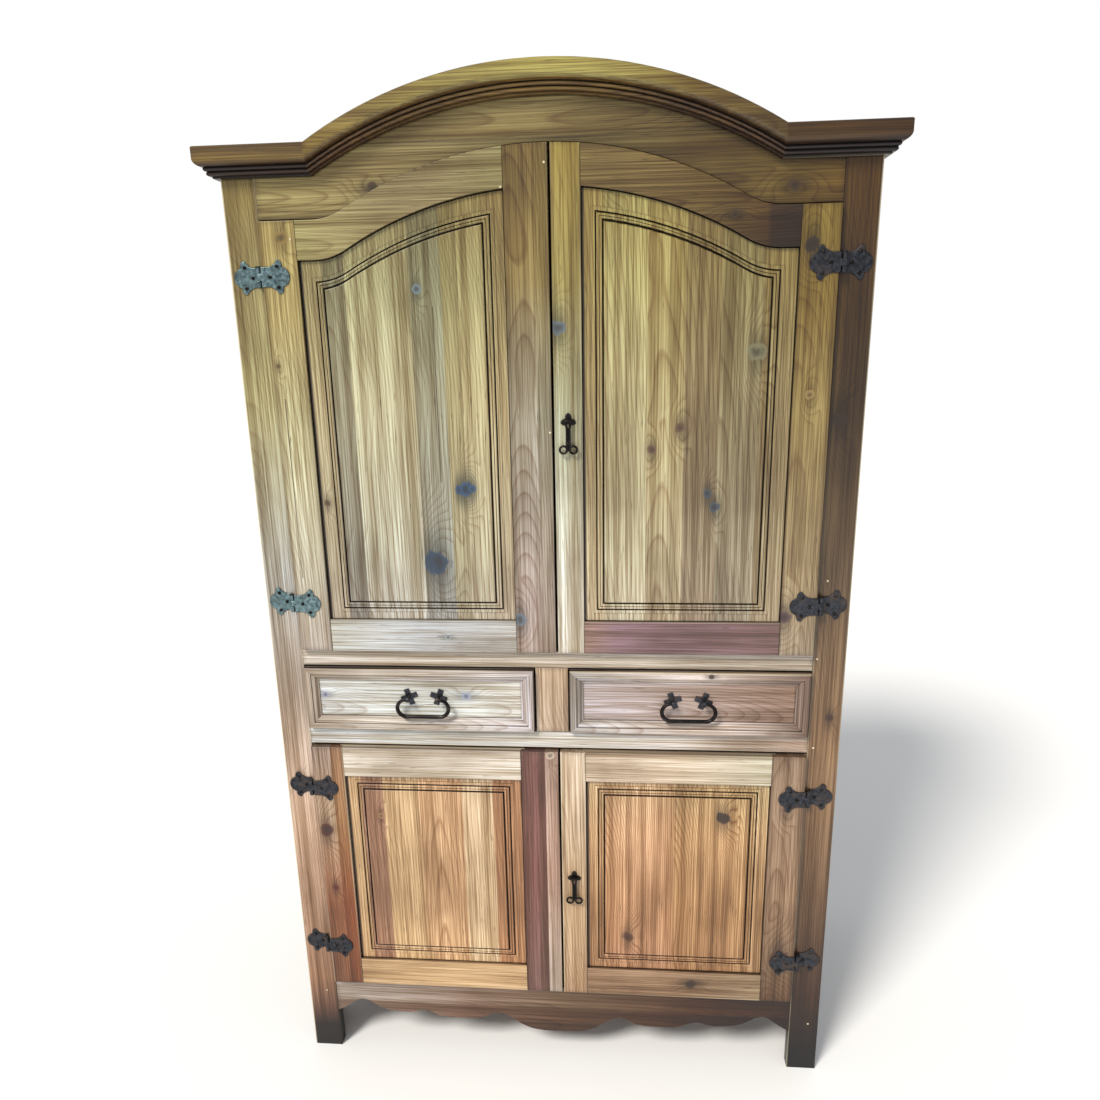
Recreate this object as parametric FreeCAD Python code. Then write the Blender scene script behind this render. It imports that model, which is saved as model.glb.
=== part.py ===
"""Waxed pine armoire: arched crown, two tall doors, two drawers, two low doors.

Millimetres, +Z up, front towards -Y.  The origin is on the floor under the middle of the piece.
Everything is drawn with y = 0 on the front face of the face frame, and moved back on saving.
"""
import FreeCAD
import Part
import math
import os
from FreeCAD import Vector

# ---------------------------------------------------------------- driving dimensions
case_width = 1150.0          # outside the front stiles
case_depth = 560.0           # face frame front to rear of the back boards
frame_thick = 25.0           # face frame stock
stile_width = 62.5           # front stiles
muntin_width = 66.5          # upright between the drawers
side_thick = 20.0            # side panels
deck_thick = 18.0            # decks, shelves and roof
back_thick = 12.0            # back boards

apron_top = 187.0            # floor to the low doors' opening
low_opening = 596.0          # height of the low doors' opening
lower_rail_height = 36.0
drawer_opening = 140.5
mid_rail_height = 34.5
high_opening = 821.5         # height of the tall doors' opening at its shoulders
seam_cover = 8.0             # wood left in the top rail above the top of its arch

arch_rise = 111.5            # tall doors, shoulder to middle
arch_shoulder = 100.0        # level part at each end of that arch
arch_cove = 120.0            # radius of the hollow between shoulder and arch

crown_reach = 33.0           # crown moulding in front of the case, and beside it
crown_height = 49.5          # crown moulding, bottom to top
crown_rise = 113.0           # arch of the crown above its level ends
crown_level_end = 167.0      # level part of the crown, inside the case side

door_thick = 22.0
door_proud = 14.0            # door face in front of the face frame
door_gap = 3.0               # around doors and drawers
seam_offset = 13.0           # meeting line of the doors, right of the middle
seam_gap = 4.0
hinge_stile_width = 67.0
left_meeting_width = 78.0
right_meeting_width = 52.0
high_top_rail = 68.0
door_rail_height = 66.0

tongue_depth = 8.0           # panel and rail tongues in their grooves
groove_slack = 2.0           # room at the bottom of each groove
panel_back = 4.0             # rear face of the panels, behind the frame front
tongue_thick = 6.5
panel_seam = 1.2             # open joint between a panel's margin and the door frame
margin_lift = 6.0            # tongue to the flat margin in front of it
band_lift = 1.0              # margin to the flat band inside it
bead_lift = 2.5              # margin to the top of the bead
field_lift = 3.5             # margin to the raised field
quirk_depth = 2.5            # margin to the bottom of the quirks beside the bead
band_width = 6.0
quirk_width = 2.5
bead_width = 10.5
bead_groove = 1.2            # fine groove along the middle of the bead
margin_hinge = 23.5          # flat margin beside the hinge stile
margin_side = 18.0
margin_low = 17.0
margin_arch = 30.0
margin_flat_top = 11.0

drawer_proud = 12.0
drawer_moulding = 27.0       # width of the mitred moulding on each drawer front
drawer_moulding_lift = 10.0
drawer_front_thick = 20.0
drawer_side_thick = 12.0
drawer_side_height = 112.0
drawer_bottom_thick = 7.0
drawer_back_room = 50.0      # from the back of a drawer to the back boards
drawer_slack = 3.0           # each side of the drawer box
slide_slack = 0.5            # under the drawer box

hinge_inset_low = 100.0       # middle of a hinge above its door's bottom edge
hinge_inset_high = 95.0       # middle of a hinge below its door's top edge or shoulder
axis_offset = 5.0            # hinge pin outside the edge of the opening
axis_forward = 12.0          # hinge pin in front of the face frame
barrel_radius = 4.5
barrel_height = 36.0
pin_radius = 2.0
pin_play = 0.05
knuckle_gap = 0.3
riser_wrap = 1.0             # frame leaf's risers, outside the barrel
leaf_swing_gap = 0.6         # between those risers and a door leaf folded right back
leaf_thick = 2.0
leaf_neck = 17.0             # half height of a leaf beside its barrel
leaf_ear = 29.5              # half height at the pointed ears
door_leaf_reach = 59.0       # from the pin to the tip of the round lobe
frame_leaf_reach = 51.0
nail_radius = 1.4
nail_head = 3.2
nail_length = 11.0

bail_spread = 61.0           # between the two eyes of a drawer pull
bail_drop = 37.0
bail_radius = 4.0
bail_pin_radius = 2.6
bail_eye_half = 3.5          # half the length of the eye that holds the pin
bail_eye_radius = 5.8
bail_neck_radius = 3.3
bail_standoff = 16.0         # pull axis in front of the drawer's flat
bail_lift = 4.0              # pull axis above the middle of the drawer
left_bail_shift = 9.0        # the left pull sits off the middle of its drawer
rosette_thick = 1.6
pull_radius = 2.3
pull_eye_width = 2.4          # staple that holds the pull, and the room beside it
pull_eye_room = 1.2
pull_length = 52.0
pull_ring_radius = 6.7
pull_standoff = 8.0
low_pull_rise = 297.0         # pull's eye above the bottom edge of a low door
high_pull_rise = 456.0        # and of a tall door
eye_play = 0.05

low_shelf_rise = 293.0        # top of the shelf above the deck below it
high_shelf_rise = 406.0
shelf_gap = 2.0
cleat_size = 18.0
back_board_count = 8
back_board_gap = 1.0
foot_length = 90.0           # feet of the side panels, along the side
side_arch_height = 105.0

edge_round = 1.5             # worn edges of frame and doors

# ---------------------------------------------------------------- worked-out places
half_width = case_width / 2
half_opening = half_width - stile_width
inner_half = half_width - side_thick
low_top = apron_top + low_opening
drawer_floor = low_top + lower_rail_height
drawer_ceiling = drawer_floor + drawer_opening
high_floor = drawer_ceiling + mid_rail_height
high_shoulder = high_floor + high_opening
case_height = high_shoulder + arch_rise + seam_cover
back_face = case_depth - back_thick
crown_bottom = case_height - crown_height
arch_span = half_opening - arch_shoulder
crown_span = half_width - crown_level_end
door_front = -door_proud
door_back = door_front + door_thick
tongue_face = panel_back - tongue_thick
margin_face = tongue_face - margin_lift
field_face = margin_face - field_lift
hinge_x = half_opening + axis_offset
low_door_bottom = apron_top + door_gap
low_door_top = low_top - door_gap
high_door_bottom = high_floor + door_gap
high_door_shoulder = high_shoulder - door_gap
low_hinges = (low_door_bottom + hinge_inset_low, low_door_top - hinge_inset_high)
high_hinges = (high_door_bottom + hinge_inset_low, high_door_shoulder - hinge_inset_high)
pull_heights = (low_door_bottom + low_pull_rise, high_door_bottom + high_pull_rise)
shelf_heights = (apron_top + low_shelf_rise, high_floor + high_shelf_rise)
drawer_rear = back_face - drawer_back_room
drawer_flat = drawer_moulding_lift - drawer_proud
seam_left = seam_offset - seam_gap / 2
seam_right = seam_offset + seam_gap / 2
front_shift = crown_reach - (crown_reach + case_depth) / 2


# ---------------------------------------------------------------- helpers
def box(x0, x1, y0, y1, z0, z1):
    """A box between two corners."""
    return Part.makeBox(x1 - x0, y1 - y0, z1 - z0, Vector(x0, y0, z0))


def cylinder(radius, start, end):
    """A rod between two points."""
    run = end - start
    return Part.makeCylinder(radius, run.Length, start, run)


def line(start, end):
    return Part.LineSegment(start, end).toShape()


def arc(start, middle, end):
    return Part.Arc(start, middle, end).toShape()


def polygon_face(points):
    """A flat face through the points."""
    return Part.Face(Part.makePolygon(list(points) + [points[0]]))


def mirror_x(shape):
    return shape.mirror(Vector(0, 0, 0), Vector(1, 0, 0))


def fuse_all(shapes):
    """One solid from pieces that run into each other."""
    return shapes[0].fuse(shapes[1:]).removeSplitter() if len(shapes) > 1 else shapes[0]


def ease(shape, y, radius=edge_round):
    """Round every edge that lies in the plane at depth y."""
    in_plane = []
    for edge in shape.Edges:
        middle = edge.valueAt((edge.FirstParameter + edge.LastParameter) / 2)
        points = [vertex.Point for vertex in edge.Vertexes] + [middle]
        if all(abs(point.y - y) < 1e-4 for point in points):
            in_plane.append(edge)
    return shape.makeFillet(radius, in_plane)


def save(name, shapes):
    """Write one node: a solid, or a group of separate solids."""
    group = shapes if isinstance(shapes, list) else [shapes]
    solids = [solid for shape in group for solid in shape.Solids]
    node = solids[0].copy() if len(solids) == 1 else Part.makeCompound(solids)
    node.translate(Vector(0, front_shift, 0))
    node.exportStep(os.path.join("parts", name + ".step"))


# ---------------------------------------------------------------- the two arches
def under_arch(shoulder, y0, y1, bottom):
    """Block as wide as the case whose top runs level, hollow, over the arch and back."""
    whole = (arch_span ** 2 + arch_rise ** 2) / (2 * arch_rise)
    radius = whole - arch_cove
    crest = shoulder + arch_rise
    centre = Vector(0, y0, crest - radius)
    cove_centre = Vector(arch_span, y0, shoulder + arch_cove)
    towards = (centre - cove_centre).normalize()
    meet = cove_centre + towards * arch_cove
    half_way = (towards + Vector(0, 0, -1)).normalize()
    on_cove = cove_centre + half_way * arch_cove

    def flip(point):
        return Vector(-point.x, point.y, point.z)

    level = Vector(arch_span, y0, shoulder)
    end = Vector(half_width, y0, shoulder)
    low = Vector(half_width, y0, bottom)
    edges = [line(flip(low), flip(end)), line(flip(end), flip(level)),
             arc(flip(level), flip(on_cove), flip(meet)),
             arc(flip(meet), Vector(0, y0, crest), meet),
             arc(meet, on_cove, level), line(level, end), line(end, low), line(low, flip(low))]
    return Part.Face(Part.Wire(edges)).extrude(Vector(0, y1 - y0, 0))


def crown_arc(y):
    """Arc of the crown's top edge, from one kink to the other."""
    return arc(Vector(-crown_span, y, case_height), Vector(0, y, case_height + crown_rise),
               Vector(crown_span, y, case_height))


def crown_profile(place):
    """Section of the crown moulding; place(out, up) gives a point, up from its bottom."""
    fascia_foot = 18.0
    nose = 29.0
    fillet = 3.5
    middle = 11.0
    outline = [
        line(place(0, 0), place(9, 0)),
        line(place(9, 0), place(9, fillet)),
        line(place(9, fillet), place(13, fillet)),
        arc(place(13, fillet), place(16.75, (fillet + middle) / 2), place(13, middle)),
        line(place(13, middle), place(17, middle)),
        arc(place(17, middle), place(20.5, (middle + fascia_foot) / 2), place(17, fascia_foot)),
        line(place(17, fascia_foot), place(24, fascia_foot)),
        arc(place(24, fascia_foot), place(30.2, 21.9), place(crown_reach, nose)),
        line(place(crown_reach, nose), place(crown_reach, crown_height - 2)),
        line(place(crown_reach, crown_height - 2), place(crown_reach - 2, crown_height)),
        line(place(crown_reach - 2, crown_height), place(0, crown_height)),
        line(place(0, crown_height), place(0, 0)),
    ]
    return Part.Wire(outline)


def crown_pieces():
    """Arched centre, level ends and side returns, mitred at the front corners."""
    start = Vector(-crown_span, 0, case_height)
    sweep = Part.BRepOffsetAPI.MakePipeShell(Part.Wire([crown_arc(0)]))
    sweep.setTrihedronMode(start, Vector(1, 0, 0))
    sweep.add(crown_profile(lambda out, up: Vector(-crown_span, -out, crown_bottom + up)))
    sweep.build()
    sweep.makeSolid()
    centre = sweep.shape()

    outer = half_width + crown_reach
    front = crown_profile(lambda out, up: Vector(crown_span, -out, crown_bottom + up))
    end = Part.Face(front).extrude(Vector(outer - crown_span, 0, 0))
    side = crown_profile(lambda out, up: Vector(half_width + out, -crown_reach, crown_bottom + up))
    side_return = Part.Face(side).extrude(Vector(0, crown_reach + case_depth, 0))
    corner = [Vector(half_width, 0, crown_bottom), Vector(outer, -crown_reach, crown_bottom),
              Vector(outer, 0, crown_bottom)]
    beyond = polygon_face(corner).extrude(Vector(0, 0, crown_height))
    front_half = box(half_width, outer, -crown_reach, 0, crown_bottom, case_height).cut(beyond)
    return centre, end.cut(beyond), side_return.cut(front_half)


# ---------------------------------------------------------------- case
def case_pieces():
    stile = ease(box(-half_width, -half_opening, 0, frame_thick, 0, case_height), 0)
    shanks = frame_nail_shanks()
    save("left_front_stile", stile.cut(shanks))
    save("right_front_stile", mirror_x(stile).cut(shanks))

    rail = box(-half_opening, half_opening, 0, frame_thick, high_floor + high_opening / 2, case_height)
    opening = under_arch(high_shoulder, 0, frame_thick, 0)
    save("arched_top_rail", ease(rail.cut(opening), 0, 1.0))

    segment = Part.Face(Part.Wire([crown_arc(0), line(Vector(crown_span, 0, case_height),
                                                      Vector(-crown_span, 0, case_height))]))
    save("tympanum_board", segment.extrude(Vector(0, frame_thick, 0)))

    save("mid_rail", ease(box(-half_opening, half_opening, 0, frame_thick, drawer_ceiling, high_floor), 0))
    save("lower_rail", ease(box(-half_opening, half_opening, 0, frame_thick, low_top, drawer_floor), 0))
    muntin = box(-muntin_width / 2, muntin_width / 2, 0, frame_thick, drawer_floor, drawer_ceiling)
    save("drawer_muntin", ease(muntin, 0))
    save("scalloped_apron", apron())

    side = side_panel()
    save("left_side_panel", side)
    save("right_side_panel", mirror_x(side))

    pitch = case_width / back_board_count
    board_edges = [-half_width + i * pitch for i in range(back_board_count)]
    save("back_boards", [box(edge + back_board_gap / 2, edge + pitch - back_board_gap / 2,
                             back_face, case_depth, side_arch_height, case_height)
                         for edge in board_edges])

    for name, top in (("bottom_deck", apron_top), ("drawer_deck", drawer_floor),
                      ("upper_deck", high_floor), ("roof_board", case_height)):
        save(name, box(-inner_half, inner_half, frame_thick, back_face, top - deck_thick, top))

    cleats = []
    for name, top in zip(("lower_shelf", "upper_shelf"), shelf_heights):
        shelf = box(-inner_half + shelf_gap, inner_half - shelf_gap, frame_thick + 5,
                    back_face - shelf_gap, top - deck_thick, top)
        save(name, shelf)
        cleat = box(-inner_half, -inner_half + cleat_size, frame_thick + 20, back_face - 20,
                    top - deck_thick - cleat_size, top - deck_thick)
        cleats += [cleat, mirror_x(cleat)]
    save("shelf_cleats", cleats)

    guide_height = 40.0
    divider = box(-deck_thick / 2, deck_thick / 2, frame_thick, back_face, drawer_floor,
                  high_floor - deck_thick)
    inner = box(deck_thick / 2, muntin_width / 2, frame_thick, back_face, drawer_floor,
                drawer_floor + guide_height)
    outer = box(half_opening, inner_half, frame_thick, back_face, drawer_floor,
                drawer_floor + guide_height)
    save("drawer_guides", [divider, inner, outer, mirror_x(inner), mirror_x(outer)])

    centre, end, side_return = crown_pieces()
    save("crown_centre_arch", centre)
    save("crown_front_ends", [end, mirror_x(end)])
    save("crown_side_returns", [side_return, mirror_x(side_return)])


def apron():
    """Apron with a scalloped lower edge: waves between rounded crests, the middle one lowest."""
    span = half_opening
    middle_lobe = 69.0
    points = [
        (0.000, middle_lobe), (0.150, 80.0), (0.283, 112.0), (0.330, 100.0), (0.440, 93.0),
        (0.540, 98.0), (0.610, 110.0), (0.650, 104.0), (0.720, 103.0), (0.800, 112.0),
        (0.888, 133.0), (0.940, 118.0), (1.000, 100.0),
    ]
    half = [Vector(span * share, 0, z) for share, z in points]
    other_half = [Vector(-point.x, 0, point.z) for point in reversed(half[1:])]
    curve = Part.BSplineCurve()
    curve.interpolate(other_half + half)
    top_right = Vector(span, 0, apron_top)
    top_left = Vector(-span, 0, apron_top)
    closing = [line(half[-1], top_right), line(top_right, top_left), line(top_left, other_half[0])]
    outline = Part.Wire(Part.__sortEdges__([curve.toShape()] + closing))
    return ease(Part.Face(outline).extrude(Vector(0, frame_thick, 0)), 0, 1.0)


def side_panel():
    """Left side board, cut away below between its two feet."""
    board = box(-half_width, -inner_half, frame_thick, back_face, 0, case_height)
    cut_radius = 30.0
    cut = box(-half_width, -inner_half, frame_thick + foot_length, back_face - foot_length,
              0, side_arch_height)
    top_edges = [edge for edge in cut.Edges
                 if all(abs(v.Point.z - side_arch_height) < 1e-6 for v in edge.Vertexes)
                 and abs(edge.Vertexes[0].Point.y - edge.Vertexes[1].Point.y) < 1e-6]
    return board.cut(cut.makeFillet(cut_radius, top_edges))


# ---------------------------------------------------------------- hinges
def leaf_outline(reach, inner):
    """Bat-wing leaf drawn on the right of the pin in the XZ plane, the pin at x = 0."""
    ear = reach - 20.0
    notch = reach - 14.0
    neck_end = ear - 19.0

    def top(x, z):
        return Vector(x, 0, z)

    def low(x, z):
        return Vector(x, 0, -z)

    edges = [line(low(inner, leaf_neck), top(inner, leaf_neck))]
    for side in (top, low):
        edges += [
            line(side(inner, leaf_neck), side(neck_end, leaf_neck)),
            arc(side(neck_end, leaf_neck), side(ear - 9.0, leaf_neck + 4.0), side(ear - 2.0, leaf_ear)),
            arc(side(ear - 2.0, leaf_ear), side(ear + 3.0, leaf_ear - 1.5), side(notch, leaf_neck)),
        ]
    edges.append(arc(top(notch, leaf_neck), top(reach, 0), low(notch, leaf_neck)))
    return Part.Face(Part.Wire(Part.__sortEdges__(edges)))


def nail_spots(reach):
    """Places of the three nails in a leaf, from the pin."""
    return [(reach - 22.0, 18.0), (reach - 36.0, 0.0), (reach - 22.0, -18.0)]


def nail(x, y, z):
    """Domed nail whose head stands on the plane at depth y."""
    shank = cylinder(nail_radius, Vector(x, y, z), Vector(x, y + nail_length, z))
    ball_radius = 4.4
    sink = math.sqrt(ball_radius ** 2 - nail_head ** 2)
    ball = Part.makeSphere(ball_radius, Vector(x, y + sink, z))
    dome = ball.common(box(x - 5, x + 5, y - 5, y, z - 5, z + 5))
    return dome.fuse(shank).removeSplitter()


def knuckle(x, z0, z1):
    """Part of a barrel with the bore for the pin."""
    centre = Vector(x, -axis_forward, z0)
    top = Vector(x, -axis_forward, z1)
    return cylinder(barrel_radius, centre, top).cut(cylinder(pin_radius + pin_play, centre, top))


def barrel_levels(z):
    """Bottom, two joints and top of a barrel centred at height z."""
    half = barrel_height / 2
    third = barrel_height / 6
    return z - half, z - third, z + third, z + half


def door_leaf(z):
    """Right door's hinge leaf, with the middle knuckle."""
    face = door_front - leaf_thick
    inner = barrel_radius + riser_wrap + leaf_swing_gap
    plate = leaf_outline(door_leaf_reach, inner).extrude(Vector(0, leaf_thick, 0))
    plate = mirror_x(plate)
    plate.translate(Vector(hinge_x, face, z))
    _, low, high, _ = barrel_levels(z)
    tab = box(hinge_x - inner - 1.0, hinge_x, face, face + leaf_thick, low, high)
    bore = cylinder(pin_radius + pin_play, Vector(hinge_x, -axis_forward, low),
                    Vector(hinge_x, -axis_forward, high))
    leaf = fuse_all([plate, tab.cut(bore), knuckle(hinge_x, low, high)])
    return leaf.cut(Part.makeCompound(door_nails(z)))


def door_nails(z):
    return [nail(hinge_x - x, door_front - leaf_thick, z + up) for x, up in nail_spots(door_leaf_reach)]


def frame_leaf(z):
    """Right stile's hinge leaf: plate on the stile, two risers and the outer knuckles."""
    inner = barrel_radius + riser_wrap / 2
    plate = leaf_outline(frame_leaf_reach, inner).extrude(Vector(0, leaf_thick, 0))
    plate.translate(Vector(hinge_x, -leaf_thick, z))
    bottom, low, high, top = barrel_levels(z)
    pieces = [plate]
    for z0, z1 in ((bottom, low - knuckle_gap), (high + knuckle_gap, top)):
        z_in = max(z0, z - leaf_neck)
        z_out = min(z1, z + leaf_neck)
        riser = box(hinge_x + barrel_radius - leaf_thick, hinge_x + barrel_radius + riser_wrap,
                    -axis_forward, 0, z_in, z_out)
        bore = cylinder(pin_radius + pin_play, Vector(hinge_x, -axis_forward, z0),
                        Vector(hinge_x, -axis_forward, z1))
        pieces += [knuckle(hinge_x, z0, z1), riser.cut(bore)]
    return fuse_all(pieces).cut(Part.makeCompound(frame_nails(z)))


def frame_nails(z):
    return [nail(hinge_x + x, -leaf_thick, z + up) for x, up in nail_spots(frame_leaf_reach)]


def frame_nail_shanks():
    """All frame nails, both sides, to pierce the stiles."""
    right = [piece for z in low_hinges + high_hinges for piece in frame_nails(z)]
    return Part.makeCompound(right + [mirror_x(piece) for piece in right])


def hinge_pin(z):
    """Pin with a small head at each end of the barrel."""
    bottom, _, _, top = barrel_levels(z)
    head = 1.5
    head_radius = 3.3
    rod = cylinder(pin_radius, Vector(hinge_x, -axis_forward, bottom - head),
                   Vector(hinge_x, -axis_forward, top + head))
    caps = [cylinder(head_radius, Vector(hinge_x, -axis_forward, level),
                     Vector(hinge_x, -axis_forward, level + head)) for level in (bottom - head, top)]
    return fuse_all([rod] + caps)


def frame_hinges():
    leaves = []
    pins = []
    for z in low_hinges + high_hinges:
        leaves += [frame_leaf(z)] + frame_nails(z)
        pins.append(hinge_pin(z))
    save("frame_hinge_leaves", leaves + [mirror_x(piece) for piece in leaves])
    save("hinge_pins", pins + [mirror_x(piece) for piece in pins])


# ---------------------------------------------------------------- doors
def raised_panel(x0, x1, z0, shoulder, arched, margins):
    """Panel between sight edges x0..x1, from z0 up; its tongue goes on into the grooves.

    margins are the sunk borders at x0, x1, the bottom and the top.
    """
    left, right, low, high = margins
    if arched:
        top_limit = shoulder + arch_rise + crown_rise
    else:
        top_limit = shoulder

    def layer(inset, y0, y1, grow=0.0):
        """Slab inset from the margins; a negative inset runs out beyond the sight edge."""
        a = x0 + (left + inset if inset is not None else -grow)
        b = x1 - (right + inset if inset is not None else -grow)
        c = z0 + (low + inset if inset is not None else -grow)
        drop = high + inset if inset is not None else -grow
        if not arched:
            return box(a, b, y0, y1, c, top_limit - drop)
        return under_arch(shoulder - drop, y0, y1, 0).common(box(a, b, y0, y1, c, top_limit))

    tongue = layer(None, tongue_face, panel_back, tongue_depth)
    margin = ease(layer(None, margin_face, tongue_face, -panel_seam), margin_face, 0.8)
    band = layer(0.0, margin_face - band_lift, margin_face)
    quirk_floor = margin_face + quirk_depth
    sunk = layer(band_width, margin_face - band_lift - 1, quirk_floor)
    border = fuse_all([tongue, margin, band]).cut(sunk)

    bead_face = margin_face - bead_lift
    bead_start = band_width + quirk_width
    bead_end = bead_start + bead_width
    groove_start = bead_start + (bead_width - bead_groove) / 2
    groove_floor = bead_face + bead_groove
    bead = layer(bead_start, bead_face, quirk_floor).cut(layer(bead_end, bead_face - 1, quirk_floor))
    groove = layer(groove_start, bead_face - 1, groove_floor)
    groove = groove.cut(layer(groove_start + bead_groove, bead_face - 1, groove_floor))
    field = ease(layer(bead_end + quirk_width, field_face, quirk_floor), field_face, 2.0)
    return fuse_all([border, ease(bead, bead_face, 2.0).cut(groove), field])


def door(prefix, x0, x1, z0, shoulder, arched, left_stile, right_stile, top_rail, bottom_rail,
         margins, heights, hinge_on_right):
    """Stiles, rails and raised panel of one door, with its hinge leaves and nails."""
    left_in = x0 + left_stile
    right_in = x1 - right_stile
    panel_low = z0 + bottom_rail
    panel_shoulder = shoulder - top_rail
    y0, y1 = door_front, door_back
    ceiling = shoulder + (arch_rise + crown_rise if arched else 0)

    def slab(a, b, c, low_shoulder=None):
        """Door stock from x = a to b and z = c up to the door's top edge."""
        if arched:
            return under_arch(shoulder, y0, y1, 0).common(box(a, b, y0, y1, c, ceiling))
        return box(a, b, y0, y1, c, shoulder)

    reach = tongue_depth + groove_slack
    groove_box = box(left_in - reach, right_in + reach, tongue_face, panel_back, z0 - 1, ceiling + 1)
    if arched:
        opening = under_arch(panel_shoulder, y0, y1, 0)
        groove_top = under_arch(panel_shoulder + reach, tongue_face, panel_back, 0)
        tongue_top = under_arch(shoulder, tongue_face, panel_back, 0)
    else:
        opening = box(-half_width, half_width, y0, y1, 0, panel_shoulder)
        groove_top = box(-half_width, half_width, tongue_face, panel_back, 0, panel_shoulder + reach)
        tongue_top = box(-half_width, half_width, tongue_face, panel_back, 0, shoulder)

    if hinge_on_right:
        nails = [piece for z in heights for piece in door_nails(z)]
        leaves = [door_leaf(z) for z in heights]
    else:
        nails = [mirror_x(piece) for z in heights for piece in door_nails(z)]
        leaves = [mirror_x(door_leaf(z)) for z in heights]
    save(prefix + "_hinge_leaves", leaves + nails)

    nail_tool = Part.makeCompound(nails)
    stiles = {}
    for side, a, b in (("left", x0, left_in), ("right", right_in, x1)):
        stile = ease(slab(a, b, z0), y0).cut(groove_box)
        hinged = (side == "right") == hinge_on_right
        stiles["hinge" if hinged else "meeting"] = stile.cut(nail_tool) if hinged else stile
    for role, stile in stiles.items():
        pierced = stile.cut(pull_shanks()) if role == "meeting" and hinge_on_right else stile
        save(prefix + "_" + role + "_stile", pierced)

    tongues = box(left_in - tongue_depth, right_in + tongue_depth, tongue_face, panel_back,
                  z0, ceiling)
    top_stock = ease(slab(left_in, right_in, panel_low).cut(opening), y0, 1.0)
    top_tongue = tongues.common(tongue_top).cut(groove_top)
    top = fuse_all([top_stock.cut(groove_top), top_tongue])
    bottom_stock = ease(box(left_in, right_in, y0, y1, z0, panel_low), y0, 1.0)
    bottom_groove = box(left_in - reach, right_in + reach, tongue_face, panel_back,
                        panel_low - reach, panel_low + 1)
    bottom_tongue = box(left_in - tongue_depth, right_in + tongue_depth, tongue_face, panel_back,
                        z0, panel_low - reach)
    bottom = fuse_all([bottom_stock.cut(bottom_groove), bottom_tongue])
    if arched:
        save(prefix + "_top_rail", top)
        save(prefix + "_bottom_rail", bottom)
    else:
        save(prefix + "_rails", [top, bottom])
    save(prefix + "_panel", raised_panel(left_in, right_in, panel_low, panel_shoulder, arched, margins))


def doors():
    left_x0 = -half_opening + door_gap
    right_x1 = half_opening - door_gap
    levels = (
        ("upper", high_door_bottom, high_door_shoulder, True, high_top_rail, margin_arch, high_hinges),
        ("lower", low_door_bottom, low_door_top, False, door_rail_height, margin_flat_top, low_hinges),
    )
    for level, z0, shoulder, arched, top_rail, top_margin, heights in levels:
        hinge_margin = margin_hinge if arched else margin_side
        door(level + "_left_door", left_x0, seam_left, z0, shoulder, arched, hinge_stile_width,
             left_meeting_width, top_rail, door_rail_height,
             (hinge_margin, margin_side, margin_low, top_margin), heights, False)
        door(level + "_right_door", seam_right, right_x1, z0, shoulder, arched, right_meeting_width,
             hinge_stile_width, top_rail, door_rail_height,
             (margin_side, hinge_margin, margin_low, top_margin), heights, True)


# ---------------------------------------------------------------- drop pulls on the right doors
pull_x = seam_right + right_meeting_width / 2
pull_axis_y = door_front - pull_standoff


def staple_shank(z):
    """Nail of the eye staple, through the rosette into the stile."""
    return cylinder(nail_radius, Vector(pull_x, door_front - rosette_thick, z),
                    Vector(pull_x, door_front + nail_length, z))


def pull_shanks():
    return Part.makeCompound([staple_shank(z) for z in pull_heights])


def trefoil_rosette(x, y, z):
    """Plate with three pointed petals, one up and one to each side."""
    petal_long = 14.5
    petal_wide = 5.5
    petals = []
    for angle in (90.0, 195.0, -15.0):
        along = Vector(math.cos(math.radians(angle)), 0, math.sin(math.radians(angle)))
        across = Vector(-along.z, 0, along.x)
        centre = Vector(x, y, z)
        tip = centre + along * petal_long
        wide = centre + along * (petal_long * 0.55)
        edges = [arc(centre, wide + across * petal_wide, tip), arc(tip, wide - across * petal_wide, centre)]
        petals.append(Part.Face(Part.Wire(edges)).extrude(Vector(0, rosette_thick, 0)))
    hub = cylinder(5.5, Vector(x, y, z), Vector(x, y + rosette_thick, z))
    return fuse_all([hub] + petals)


def pull_plate(z):
    """Rosette and eye staple that hold a drop pull."""
    eye_wall = 2.0
    bore_radius = pull_radius + eye_play
    plate = trefoil_rosette(pull_x, door_front - rosette_thick, z)
    left = Vector(pull_x - pull_eye_width / 2, pull_axis_y, z)
    right = Vector(pull_x + pull_eye_width / 2, pull_axis_y, z)
    eye = cylinder(bore_radius + eye_wall, left, right)
    neck = box(left.x, right.x, pull_axis_y, door_front - rosette_thick, z - 1.6, z + 1.6)
    bore = cylinder(bore_radius, left, right)
    return fuse_all([plate, fuse_all([eye, neck]).cut(bore), staple_shank(z)])


def drop_pull(z):
    """Bent rod: bar through the eye, two legs side by side, each ending in a ring."""
    shoulder = pull_radius + pull_eye_width / 2 + pull_eye_room
    together = pull_radius + 0.1
    squeeze = 14.0
    ring_wire = pull_radius - 0.1
    past_ring = 1.5

    def spot(x, drop):
        return Vector(pull_x + x, pull_axis_y, z - drop)

    pieces = [cylinder(pull_radius, spot(-shoulder, 0), spot(shoulder, 0))]
    for side in (-1, 1):
        corner = spot(side * shoulder, 0)
        waist = spot(side * together, squeeze)
        tail = spot(side * together, pull_length + past_ring)
        ring_centre = spot(side * (together + pull_ring_radius), pull_length)
        pieces += [Part.makeSphere(pull_radius, corner), cylinder(pull_radius, corner, waist),
                   Part.makeSphere(pull_radius, waist), cylinder(pull_radius, waist, tail),
                   Part.makeTorus(pull_ring_radius, ring_wire, ring_centre, Vector(0, 1, 0))]
    return fuse_all(pieces)


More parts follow.
